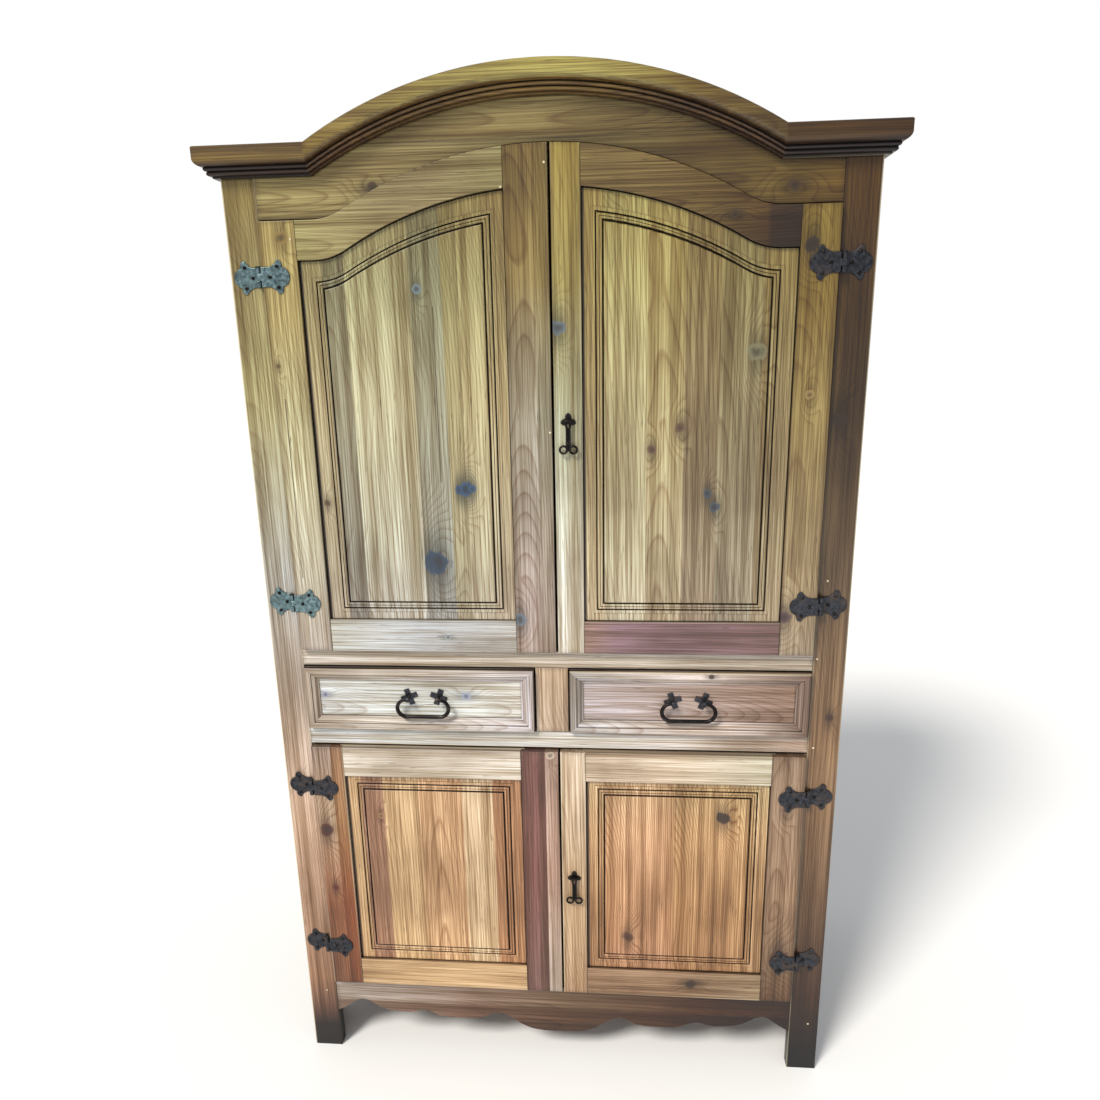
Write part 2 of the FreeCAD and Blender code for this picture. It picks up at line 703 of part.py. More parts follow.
# ---------------------------------------------------------------- drawers
def mitred_frame(x0, x1, z0, z1, width, profile):
    """Four strips of one moulding around a rectangle, cut at 45 degrees in the corners.

    profile(place) gives the section; place(inward, forward) is a point of it.
    """
    corners = [Vector(x0, 0, z0), Vector(x1, 0, z0), Vector(x1, 0, z1), Vector(x0, 0, z1)]
    strips = []
    for i in range(4):
        start, end = corners[i], corners[(i + 1) % 4]
        along = (end - start).normalize()
        inward = Vector(-along.z, 0, along.x)

        def place(across, forward):
            return start + inward * across + Vector(0, drawer_flat - forward, 0)

        section = profile(place)
        strip = Part.Face(section).extrude(end - start)
        outline = [start, end, end + (inward - along) * width, start + (inward + along) * width]
        wedge = polygon_face(outline).extrude(Vector(0, 60, 0))
        wedge.translate(Vector(0, -30, 0))
        strips.append(strip.common(wedge))
    return strips


def drawer_profile(place):
    """Section of a drawer moulding: flat ledge, quirk, then a hollow down to the flat."""
    lift = drawer_moulding_lift
    width = drawer_moulding
    ledge = 13.0
    return Part.Wire([
        line(place(0, 0), place(0, lift - 1.5)),
        line(place(0, lift - 1.5), place(1.5, lift)),
        line(place(1.5, lift), place(ledge, lift)),
        line(place(ledge, lift), place(ledge, lift - 2)),
        arc(place(ledge, lift - 2), place(ledge + 6.5, lift - 4), place(width - 3, 2)),
        line(place(width - 3, 2), place(width, 1.5)),
        line(place(width, 1.5), place(width, 0)),
        line(place(width, 0), place(0, 0)),
    ])


def drawer(prefix, x0, x1, bail_x):
    """Front with applied moulding, box behind it, and the bail pull with its posts."""
    a, b = x0 + door_gap, x1 - door_gap
    c, d = drawer_floor + door_gap, drawer_ceiling - door_gap
    y1 = drawer_flat + drawer_front_thick
    axis_y = drawer_flat - bail_standoff
    axis_z = (drawer_floor + drawer_ceiling) / 2 + bail_lift
    shanks = [post_shank(bail_x + side * bail_spread / 2, axis_z) for side in (-1, 1)]
    front = box(a, b, drawer_flat, y1, c, d)
    save(prefix + "_front", front.cut(Part.makeCompound(shanks)))
    save(prefix + "_moulding", mitred_frame(a, b, c, d, drawer_moulding, drawer_profile))

    side_low = drawer_floor + slide_slack
    side_high = side_low + drawer_side_height
    in_left = x0 + drawer_slack + drawer_side_thick
    in_right = x1 - drawer_slack - drawer_side_thick
    left = box(x0 + drawer_slack, in_left, y1, drawer_rear, side_low, side_high)
    right = box(in_right, x1 - drawer_slack, y1, drawer_rear, side_low, side_high)
    back = box(in_left, in_right, drawer_rear - drawer_side_thick, drawer_rear,
               side_low + drawer_bottom_thick, side_high)
    bottom = box(in_left, in_right, y1, drawer_rear, side_low, side_low + drawer_bottom_thick)
    save(prefix + "_box", [left, right, back, bottom])

    posts = [bail_post(bail_x + side * bail_spread / 2, axis_y, axis_z, side) for side in (-1, 1)]
    save(prefix + "_pull_posts", posts)
    save(prefix + "_bail", bail(bail_x, axis_y, axis_z))


def post_shank(x, z):
    """Nail behind a pull post, into the drawer front."""
    return cylinder(nail_radius, Vector(x, drawer_flat - rosette_thick, z),
                    Vector(x, drawer_flat + nail_length, z))


def bail_post(x, axis_y, z, side):
    """Rosette of four square petals, and a post whose eye takes one end of the bail."""
    petal = 11.0
    reach = 17.5
    turn = 20.0 * side
    arms = []
    for angle in (0, 90):
        arm = box(-reach, reach, 0, rosette_thick, -petal / 2, petal / 2)
        arm.rotate(Vector(0, 0, 0), Vector(0, 1, 0), angle + turn)
        arm.translate(Vector(x, drawer_flat - rosette_thick, z))
        arms.append(arm)
    neck = cylinder(bail_neck_radius, Vector(x, axis_y, z), Vector(x, drawer_flat - rosette_thick, z))
    left = Vector(x - bail_eye_half, axis_y, z)
    right = Vector(x + bail_eye_half, axis_y, z)
    eye = cylinder(bail_eye_radius, left, right)
    rims = [edge for edge in eye.Edges if isinstance(edge.Curve, Part.Circle)]
    bore = cylinder(bail_pin_radius + eye_play, left, right)
    solid = fuse_all(arms + [post_shank(x, z), neck, eye.makeFillet(1.2, rims)])
    return solid.cut(bore)


def bail(x, y, z):
    """Handle bent like a flat C: a pin in each eye, half-round ends that swell, a straight grip."""
    bend = bail_drop / 2
    start_x = bail_spread / 2 + bail_eye_half + knuckle_gap

    def spot(along, drop):
        return Vector(along, y, z - drop)

    def ring(centre, normal, radius):
        return Part.Wire([Part.Circle(centre, normal, radius).toShape()])

    start = spot(start_x, 0)
    side_point = spot(start_x + bend, bend)
    grip_end = spot(start_x, bail_drop)
    slant = bend * math.sqrt(0.5)
    path = Part.Wire([arc(start, spot(start_x + slant, bend - slant), side_point),
                      arc(side_point, spot(start_x + slant, bend + slant), grip_end)])
    sweep = Part.BRepOffsetAPI.MakePipeShell(path)
    sweep.add(ring(start, Vector(1, 0, 0), bail_pin_radius + 0.6))
    sweep.add(ring(side_point, Vector(0, 0, -1), bail_radius))
    sweep.add(ring(grip_end, Vector(-1, 0, 0), bail_radius))
    sweep.build()
    sweep.makeSolid()
    pin = cylinder(bail_pin_radius, spot(start_x - 2 * bail_eye_half - 2 * knuckle_gap, 0), start)
    grip = cylinder(bail_radius, spot(0, bail_drop), grip_end)
    half = fuse_all([pin, sweep.shape(), grip])
    whole = fuse_all([half, mirror_x(half)])
    whole.translate(Vector(x, 0, 0))
    return whole


# ---------------------------------------------------------------- build
os.makedirs("parts", exist_ok=True)
case_pieces()
frame_hinges()
doors()
for level, height in zip(("lower", "upper"), pull_heights):
    save(level + "_pull_plate", pull_plate(height))
    save(level + "_drop_pull", drop_pull(height))
left_middle = -(half_opening + muntin_width / 2) / 2
drawer("left_drawer", -half_opening, -muntin_width / 2, left_middle + left_bail_shift)
drawer("right_drawer", muntin_width / 2, half_opening, -left_middle)
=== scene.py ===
# %% [markdown]
# # A waxed pine armoire
# The CAD model is the frame of this scene: every board, hinge and pull is already in its place, in metres,
# with the front towards -Y.  This script adds what CAD leaves out: the grain, knots and wax of old pine,
# forged iron with its hammer marks, light, and a camera.

# %% Load the frame
import bpy
import math
from types import SimpleNamespace
from mathutils import Matrix, Vector


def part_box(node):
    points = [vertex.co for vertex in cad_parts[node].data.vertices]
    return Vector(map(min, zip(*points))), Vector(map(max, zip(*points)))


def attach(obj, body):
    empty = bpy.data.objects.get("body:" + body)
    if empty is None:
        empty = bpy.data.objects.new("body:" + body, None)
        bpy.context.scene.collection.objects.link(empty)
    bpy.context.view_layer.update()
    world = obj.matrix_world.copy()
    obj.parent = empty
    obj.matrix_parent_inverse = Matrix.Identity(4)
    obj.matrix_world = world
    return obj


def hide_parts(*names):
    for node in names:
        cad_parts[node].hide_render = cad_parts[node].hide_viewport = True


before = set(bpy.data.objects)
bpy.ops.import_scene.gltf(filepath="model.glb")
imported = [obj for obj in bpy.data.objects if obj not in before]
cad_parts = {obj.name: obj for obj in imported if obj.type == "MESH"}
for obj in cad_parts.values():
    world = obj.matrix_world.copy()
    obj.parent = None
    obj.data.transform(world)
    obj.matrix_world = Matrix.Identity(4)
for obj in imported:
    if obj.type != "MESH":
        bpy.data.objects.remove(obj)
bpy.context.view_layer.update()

# %% [markdown]
# ## Camera
# The armoire is seen by a person standing close in front of it, a little to the right of its middle,
# with the camera held at 1.6 m and tilted down.  A wide lens that near makes the top look broad and the
# feet look narrow, which is why the place matters more than the lens.

# %% Set the camera
camera = bpy.data.objects.new("camera", bpy.data.cameras.new("camera"))
bpy.context.scene.collection.objects.link(camera)
camera.data.lens = 26.68
camera.data.sensor_width = 36.0
turn = Matrix.Rotation(math.radians(4.77), 4, "Z")
tilt = Matrix.Rotation(math.radians(75.45), 4, "X")
roll = Matrix.Rotation(math.radians(-1.14), 4, "Z")
camera.matrix_world = Matrix.Translation((0.12835, -1.78459, 1.60066)) @ turn @ tilt @ roll
bpy.context.scene.camera = camera
bpy.context.scene.view_settings.view_transform = "Standard"
print("camera at", [round(v, 3) for v in camera.matrix_world.translation])

# %% [markdown]
# ## Colours and nodes
# Colours are easiest to write as the hex codes of a paint chart, but shaders add light in linear values,
# so one function turns one into the other.  A second function adds any shader node: it takes the node's
# settings, and for each input either a value or the node whose first output feeds it.

# %% Two helpers for materials
def linear(code):
    """The linear colour of an sRGB hex code."""
    parts = [int(code[i:i + 2], 16) / 255 for i in (0, 2, 4)]
    return (*[c / 12.92 if c <= 0.04045 else ((c + 0.055) / 1.055) ** 2.4 for c in parts], 1.0)


def add(tree, kind, settings, inputs):
    """Add a shader node, set it up and link it.  A colour ramp takes its stops as (place, colour)."""
    node = tree.nodes.new("ShaderNode" + kind)
    for name, value in settings.items():
        if name != "stops":
            setattr(node, name, value)
            continue
        ramp = node.color_ramp.elements
        while len(ramp) < len(value):
            ramp.new(1.0)
        for stop, (place, colour) in zip(ramp, value):
            stop.position = place
            stop.color = linear(colour) if isinstance(colour, str) else (colour, colour, colour, 1.0)
    for name, value in inputs.items():
        if isinstance(value, bpy.types.Node):
            value = value.outputs[0]
        if isinstance(value, bpy.types.NodeSocket):
            tree.links.new(value, node.inputs[name])
        else:
            node.inputs[name].default_value = value
    return node


print("pale pine in linear values", [round(v, 3) for v in linear("c9a56b")])

# %% [markdown]
# ## Light and floor
# A white surround gives the even light of a studio tent.  A far, wide sun high on the left of the front draws
# the mouldings, so that their shadows fall to the right and downwards, and lights the floor evenly.
# A long low lamp in front is there for the wax: the middle of the front mirrors it, and that gives it sheen.

# %% Light the scene
world = bpy.data.worlds.new("studio tent")
bpy.context.scene.world = world
world.use_nodes = True
tent = world.node_tree
tent.nodes.clear()
seen = add(tent, "Background", {}, {"Color": linear("ffffff"), "Strength": 1.0})
light = add(tent, "Background", {}, {"Color": linear("f8fbff"), "Strength": 0.66})
path = add(tent, "LightPath", {}, {})
both = add(tent, "MixShader", {}, {0: path.outputs["Is Camera Ray"], 1: light, 2: seen})
out = tent.nodes.new("ShaderNodeOutputWorld")
tent.links.new(both.outputs[0], out.inputs["Surface"])


def lamp(name, place, aim, width, height, watts, colour):
    """An area lamp at a place, turned towards a point."""
    data = bpy.data.lights.new(name, "AREA")
    data.shape = "RECTANGLE"
    data.size = width
    data.size_y = height
    data.energy = watts
    data.color = linear(colour)[:3]
    piece = bpy.data.objects.new(name, data)
    bpy.context.scene.collection.objects.link(piece)
    facing = (Vector(aim) - Vector(place)).to_track_quat("-Z", "Y")
    piece.matrix_world = Matrix.Translation(place) @ facing.to_matrix().to_4x4()
    return piece


sun = bpy.data.objects.new("soft sun", bpy.data.lights.new("soft sun", "SUN"))
bpy.context.scene.collection.objects.link(sun)
sun.data.energy = 3.7
sun.data.angle = math.radians(16.0)
sun.data.color = linear("fffaf2")[:3]
sun.matrix_world = Vector((-1.25, -1.7, 2.3)).to_track_quat("Z", "Y").to_matrix().to_4x4()
lamp("low sheen lamp", (0.1, -3.0, 0.12), (0.0, -0.3, 0.85), 2.4, 0.7, 16, "f2f6ff")

bpy.ops.mesh.primitive_plane_add(size=40.0, location=(0.0, 0.0, 0.0))
floor = bpy.context.object
floor.name = "studio_floor"
plaster = bpy.data.materials.new("pale studio floor")
plaster.use_nodes = True
tree = plaster.node_tree
mottle = add(tree, "TexNoise", {}, {"Scale": 3.0, "Detail": 2.0})
tone = add(tree, "ValToRGB", {"stops": [(0.3, "e0e0df"), (0.7, "e6e6e5")]}, {"Fac": mottle})
tree.links.new(tone.outputs[0], tree.nodes["Principled BSDF"].inputs["Base Color"])
tree.nodes["Principled BSDF"].inputs["Roughness"].default_value = 0.7
floor.data.materials.append(plaster)

# %% [markdown]
# ## Waxed pine
# Old country pine: boards sawn flat from the log, planed, stained with a honey-coloured wax and rubbed.
# Each year of the tree is a soft pale band that ends in a hard dark line.  A board shows those rings cut
# lengthwise: straight lines where the heart of the tree is far to the side, and tall arches where it lies
# behind the middle of the board.  So the pattern is worked out as it grows: the distance from every point
# to the heart of the log, which wanders a little along the board, is divided into rings.
# Around a knot the rings swell, and the knot itself is darker and harder.
# Wide boards are glued up from strips, each from another tree, so each has its own heart and colour.
# Over the grain come fine fibres, long streaks, stains and dark flecks of pitch.

# %% Where a point lies in a board
pine_materials = {}


def place_in_board(tree, node, axes, mitred):
    """Sockets for a point's place in a board: across, into and along it, and how far from its edges.
    In a mitred frame the upright pieces have their grain upright too, so across and along change places."""
    low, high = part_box(node)
    a, d, l = ["XYZ".index(axis) for axis in axes]
    where = add(tree, "TexCoord", {}, {})
    point = add(tree, "SeparateXYZ", {}, {0: where.outputs["Object"]}).outputs
    across, into, along = point[a], point[d], point[l]
    near_a = add(tree, "Math", {"operation": "SUBTRACT"}, {0: across, 1: low[a]})
    far_a = add(tree, "Math", {"operation": "SUBTRACT"}, {0: high[a], 1: across})
    edge_a = add(tree, "Math", {"operation": "MINIMUM"}, {0: near_a, 1: far_a})
    near_l = add(tree, "Math", {"operation": "SUBTRACT"}, {0: along, 1: low[l]})
    far_l = add(tree, "Math", {"operation": "SUBTRACT"}, {0: high[l], 1: along})
    edge_l = add(tree, "Math", {"operation": "MINIMUM"}, {0: near_l, 1: far_l})
    edge = add(tree, "Math", {"operation": "MINIMUM"}, {0: edge_a, 1: edge_l})
    if mitred:
        upright = add(tree, "Math", {"operation": "LESS_THAN"}, {0: edge_l, 1: edge_a})
        turned = add(tree, "Mix", {}, {"Factor": upright, "A": across, "B": along})
        along = add(tree, "Mix", {}, {"Factor": upright, "A": along, "B": across}).outputs[0]
        across = turned.outputs[0]
    facing = add(tree, "SeparateXYZ", {}, {0: where.outputs["Normal"]}).outputs[d]
    return SimpleNamespace(across=across, into=into, along=along, length=point[l], facing=facing,
                           near_a=near_a, edge_a=edge_a, edge=edge,
                           low=low[a], high=high[a], foot=low[l], top=high[l])


# %% Strips, each with its own heart and tint
def glued_strips(tree, board, strips):
    """How far a point is from the heart of its own strip, sideways, and the strip's tint."""
    width = board.high - board.low
    starts = [max(0.0, (start / 1000 - board.low) / width) for start, _, _ in strips]
    middles = [board.low + width * (s + e) / 2 for s, e in zip(starts, starts[1:] + [1.0])]
    hearts = [(s, (h / 1000 - m + 1) / 2) for s, m, (_, h, _) in zip(starts, middles, strips)]
    if len(strips) == 1:
        off = add(tree, "Math", {"operation": "ADD"}, {0: board.across, 1: hearts[0][1] * 2 - 1})
        return off, None
    tints = [(s, tint) for s, (_, _, tint) in zip(starts, strips)]
    share = add(tree, "MapRange", {}, {"Value": board.across, "From Min": board.low, "From Max": board.high})
    stepped = add(tree, "ValToRGB", {"stops": hearts}, {"Fac": share})
    tint = add(tree, "ValToRGB", {"stops": tints}, {"Fac": share})
    stepped.color_ramp.interpolation = "CONSTANT"
    tint.color_ramp.interpolation = "CONSTANT"
    moved = add(tree, "Math", {"operation": "MULTIPLY_ADD"}, {0: stepped, 1: 2.0, 2: board.across})
    off = add(tree, "Math", {"operation": "SUBTRACT"}, {0: moved, 1: 1.0})
    return off, tint


def drawn_out(tree, board, scale, stretch, detail, shift):
    """A cloudy pattern with features 1/scale m wide, stretched along the grain."""
    size = add(tree, "VectorMath", {"operation": "MULTIPLY_ADD"},
               {0: board.grain, 1: (scale, scale, scale / stretch),
                2: (board.seed + shift, shift, board.seed * 3)})
    return add(tree, "TexNoise", {}, {"Vector": size, "Scale": 1.0, "Detail": detail})


print("strips and clouds are ready")

# %% [markdown]
# ## Rings and knots
# The heart of the log wanders by a centimetre sideways and by a few in depth, so the lines of a board sway.
# A knot is a branch, and the rings had to grow around it: the distance to the heart swells near it.

# %% Year rings
def year_rings(tree, board, ring, heart, knots):
    """The hard dark line that ends each year, from 0 to 1, and for each knot the distances that draw it."""
    sway = drawn_out(tree, board, 7.0, 12.0, 1.5, 0.0)
    sway = add(tree, "Math", {"operation": "MULTIPLY_ADD"}, {0: sway, 1: 0.020, 2: board.off})
    board.sway = add(tree, "Math", {"operation": "SUBTRACT"}, {0: sway, 1: 0.010})
    sink = drawn_out(tree, board, 4.0, 2.6, 2.0, 7.0)
    sink = add(tree, "Math", {"operation": "MULTIPLY_ADD"}, {0: sink, 1: 0.09, 2: heart / 1000 - 0.045})
    sink = add(tree, "Math", {"operation": "MULTIPLY_ADD"}, {0: board.along, 1: 0.05, 2: sink})
    reach = add(tree, "CombineXYZ", {}, {0: board.sway, 1: sink})
    radius = add(tree, "VectorMath", {"operation": "LENGTH"}, {0: reach}).outputs["Value"]
    cores = []
    for x, z, size, colour in knots:
        gap = add(tree, "Math", {"operation": "SUBTRACT"}, {0: board.across, 1: x / 1000})
        drop = add(tree, "Math", {"operation": "SUBTRACT"}, {0: board.along, 1: z / 1000})
        short = add(tree, "Math", {"operation": "MULTIPLY"}, {0: drop, 1: 0.42})
        round_ = add(tree, "CombineXYZ", {}, {0: gap, 1: drop})
        oval = add(tree, "CombineXYZ", {}, {0: gap, 1: short})
        near = add(tree, "VectorMath", {"operation": "LENGTH"}, {0: round_})
        halo = add(tree, "VectorMath", {"operation": "LENGTH"}, {0: oval})
        swell = add(tree, "MapRange", {"interpolation_type": "SMOOTHSTEP"},
                    {"Value": halo.outputs["Value"], "From Min": size * 0.0003, "From Max": size * 0.0042,
                     "To Min": size * 0.0021, "To Max": 0.0})
        radius = add(tree, "Math", {"operation": "ADD"}, {0: radius, 1: swell}).outputs[0]
        cores.append((near.outputs["Value"], halo.outputs["Value"], size, colour))
    years = add(tree, "Math", {"operation": "MULTIPLY"}, {0: radius, 1: 1000 / ring})
    year = add(tree, "Math", {"operation": "FRACT"}, {0: years})
    late = add(tree, "ValToRGB", {"stops": [(0.0, 0.03), (0.50, 0.10), (0.78, 0.5), (0.88, 1.0),
                                            (0.95, 0.6), (1.0, 0.03)]}, {"Fac": year})
    return late, cores


print("rings are ready")

# %% Glazes, knots and cracks
LATE_WOOD, PITCH, KNOT_HEART, CRACK = (linear(code) for code in ("b08a66", "4a3220", "1c1512", "33230f"))


def glaze(tree, under, amount, over, mode="MULTIPLY"):
    """Lay a colour over another: MULTIPLY for a glaze, MIX for a coat that covers."""
    mix = add(tree, "Mix", {"data_type": "RGBA", "blend_type": mode}, {0: amount, 6: under, 7: over})
    return mix.outputs[2]


def draw_knots(tree, board, colour, cores):
    """A smoky halo, a dark body with a ragged edge, and a nearly black centre for each knot."""
    for near, halo, size, dark in cores:
        ragged = add(tree, "Math", {"operation": "MULTIPLY_ADD"}, {0: board.rough, 1: size * 0.0018, 2: near})
        ragged = add(tree, "Math", {"operation": "MULTIPLY_ADD"},
                     {0: board.streaks, 1: size * 0.0006, 2: ragged})
        body = add(tree, "MapRange", {"interpolation_type": "SMOOTHSTEP"},
                   {"Value": ragged, "From Min": size * 0.0023, "From Max": size * 0.0028,
                    "To Min": 0.9, "To Max": 0.0})
        smoke = add(tree, "MapRange", {"interpolation_type": "SMOOTHSTEP"},
                    {"Value": halo, "From Min": size * 0.0004, "From Max": size * 0.0026,
                     "To Min": 0.55, "To Max": 0.0})
        centre = add(tree, "MapRange", {"interpolation_type": "SMOOTHSTEP"},
                     {"Value": ragged, "From Min": size * 0.0014, "From Max": size * 0.0025,
                      "To Min": 0.7, "To Max": 0.0})
        colour = glaze(tree, colour, smoke, linear(dark))
        colour = glaze(tree, colour, body, glaze(tree, linear(dark), centre, KNOT_HEART, "MIX"), "MIX")
    return colour


def draw_cracks(tree, board, colour, cracks):
    """Drying cracks: dark slits of about a millimetre that follow the grain."""
    for x, z_low, z_high in cracks:
        strayed = add(tree, "Math", {"operation": "SUBTRACT"}, {0: board.sway, 1: board.off})
        strayed = add(tree, "Math", {"operation": "ADD"}, {0: strayed, 1: board.across})
        gap = add(tree, "Math", {"operation": "SUBTRACT"}, {0: strayed, 1: x / 1000})
        open_ = add(tree, "Math", {"operation": "ABSOLUTE"}, {0: gap})
        slit = add(tree, "MapRange", {}, {"Value": open_, "From Min": 0.0004, "From Max": 0.0016,
                                          "To Min": 0.8, "To Max": 0.0})
        inside = add(tree, "Math", {"operation": "COMPARE"},
                     {0: board.length, 1: (z_low + z_high) / 2000, 2: (z_high - z_low) / 2000})
        both = add(tree, "Math", {"operation": "MULTIPLY"}, {0: slit, 1: inside})
        colour = glaze(tree, colour, both, CRACK, "MIX")
    return colour


print("knots have hearts of", [round(v, 3) for v in KNOT_HEART[:3]])

# %% [markdown]
# ## Dirt, wear and painted shade
# Faces that turn away from the front, such as the slopes of mouldings, are painted darker: painted shade.
# The cove of the crown is darkened by its depth, and every corner is darkened as well: painted shade, with
# the wax and dust that settle there.
# Along the edges of a board the colour darkens in patches: dirt, and painted shade along the seams.  A dark
# line down the seam on the left of each panel is a painted shadow of the stile.  Along the arrises the finish
# is paler in patches: wear, which also stands in for the highlights that the arrises catch.

# %% Painted shade on slopes, in the cove and in corners; dirt and painted shade on the edges; wear and painted highlight on the arrises
SLOPE_SHADE, CORNER_SHADE_AND_DUST, EDGE_DIRT_AND_SHADE, SEAM_SHADOW, WORN_AND_HIGHLIT = (linear(code) for code in
                                        ("5e4630", "2e1a0c", "5b4026", "3a2414", "e6d6b4"))
CORNER_SHADE_REACH = 0.0045


def dirt_wear_and_painted_light(tree, board, colour, slope_shade_amount, recess_dust_and_shade, grime_and_shade, seam_shadow_at, wear_and_highlight):
    """Paint shade on slopes, in the cove and in corners, darken the edges with dirt and painted shade, paint
    a shadow down the panel seam, then pale the arrises with wear and painted highlights.  Gives the colour
    and the corner shade.
    """
    # painted shade: faces that turn away from the front are darkened, the steeper the darker
    facing = add(tree, "Math", {"operation": "ABSOLUTE"}, {0: board.facing})
    slope_shade = add(tree, "MapRange", {}, {"Value": facing, "From Min": 0.35, "From Max": 0.93,
                                       "To Min": slope_shade_amount, "To Max": 0.0})
    colour = glaze(tree, colour, slope_shade, SLOPE_SHADE)
    # wax and dust, and painted shade: the cove is darkened by its depth
    if recess_dust_and_shade:
        deep, shallow, shade = recess_dust_and_shade
        sunk = add(tree, "MapRange", {}, {"Value": board.into, "From Min": deep / 1000,
                                          "From Max": shallow / 1000})
        colour = glaze(tree, colour, sunk, linear(shade))
    # painted shade in every corner a short occlusion ray finds, standing also for the dust that settles there
    corner = add(tree, "AmbientOcclusion", {"samples": 4}, {"Distance": CORNER_SHADE_REACH})
    corner = add(tree, "MapRange", {}, {"Value": corner.outputs["AO"], "From Min": 0.50, "From Max": 0.84,
                                        "To Min": 0.97, "To Max": 0.0})
    colour = glaze(tree, colour, corner, CORNER_SHADE_AND_DUST)
    # dirt, and painted shade along the seams: darker in patches within 12 mm of a board's edges
    dirt_and_shade = add(tree, "MapRange", {"interpolation_type": "SMOOTHSTEP"},
               {"Value": board.edge, "From Min": 0.0, "From Max": 0.012, "To Min": grime_and_shade, "To Max": 0.0})
    dirt_and_shade = add(tree, "Math", {"operation": "MULTIPLY"}, {0: dirt_and_shade, 1: board.stains})
    colour = glaze(tree, colour, dirt_and_shade, EDGE_DIRT_AND_SHADE)
    # painted shadow: a dark line down the panel's left margin, where the stile's shadow falls
    if seam_shadow_at:
        dark = add(tree, "MapRange", {}, {"Value": board.near_a, "From Min": seam_shadow_at / 1000 - 0.0015,
                                          "From Max": seam_shadow_at / 1000 + 0.0015, "To Min": 0.93, "To Max": 0.0})
        colour = glaze(tree, colour, dark, SEAM_SHADOW)
    # wear, and painted highlight: pale patches along the long arrises
    chips = add(tree, "MapRange", {}, {"Value": board.streaks, "From Min": 0.50, "From Max": 0.60})
    rub_and_highlight = add(tree, "MapRange", {}, {"Value": board.edge_a, "From Min": 0.0010, "From Max": 0.0030,
                                     "To Min": wear_and_highlight * 0.7, "To Max": 0.0})
    rub_and_highlight = add(tree, "Math", {"operation": "MULTIPLY"}, {0: rub_and_highlight, 1: chips})
    return glaze(tree, colour, rub_and_highlight, WORN_AND_HIGHLIT, "MIX"), corner


# prints how far the painted corner shade reaches
print("dirt reaches", CORNER_SHADE_REACH * 1000, "mm out of a corner")

# %% The whole material
LINE_RELIEF, FIBRE_RELIEF, BOARD_RELIEF = 0.00006, 0.00022, 0.0022


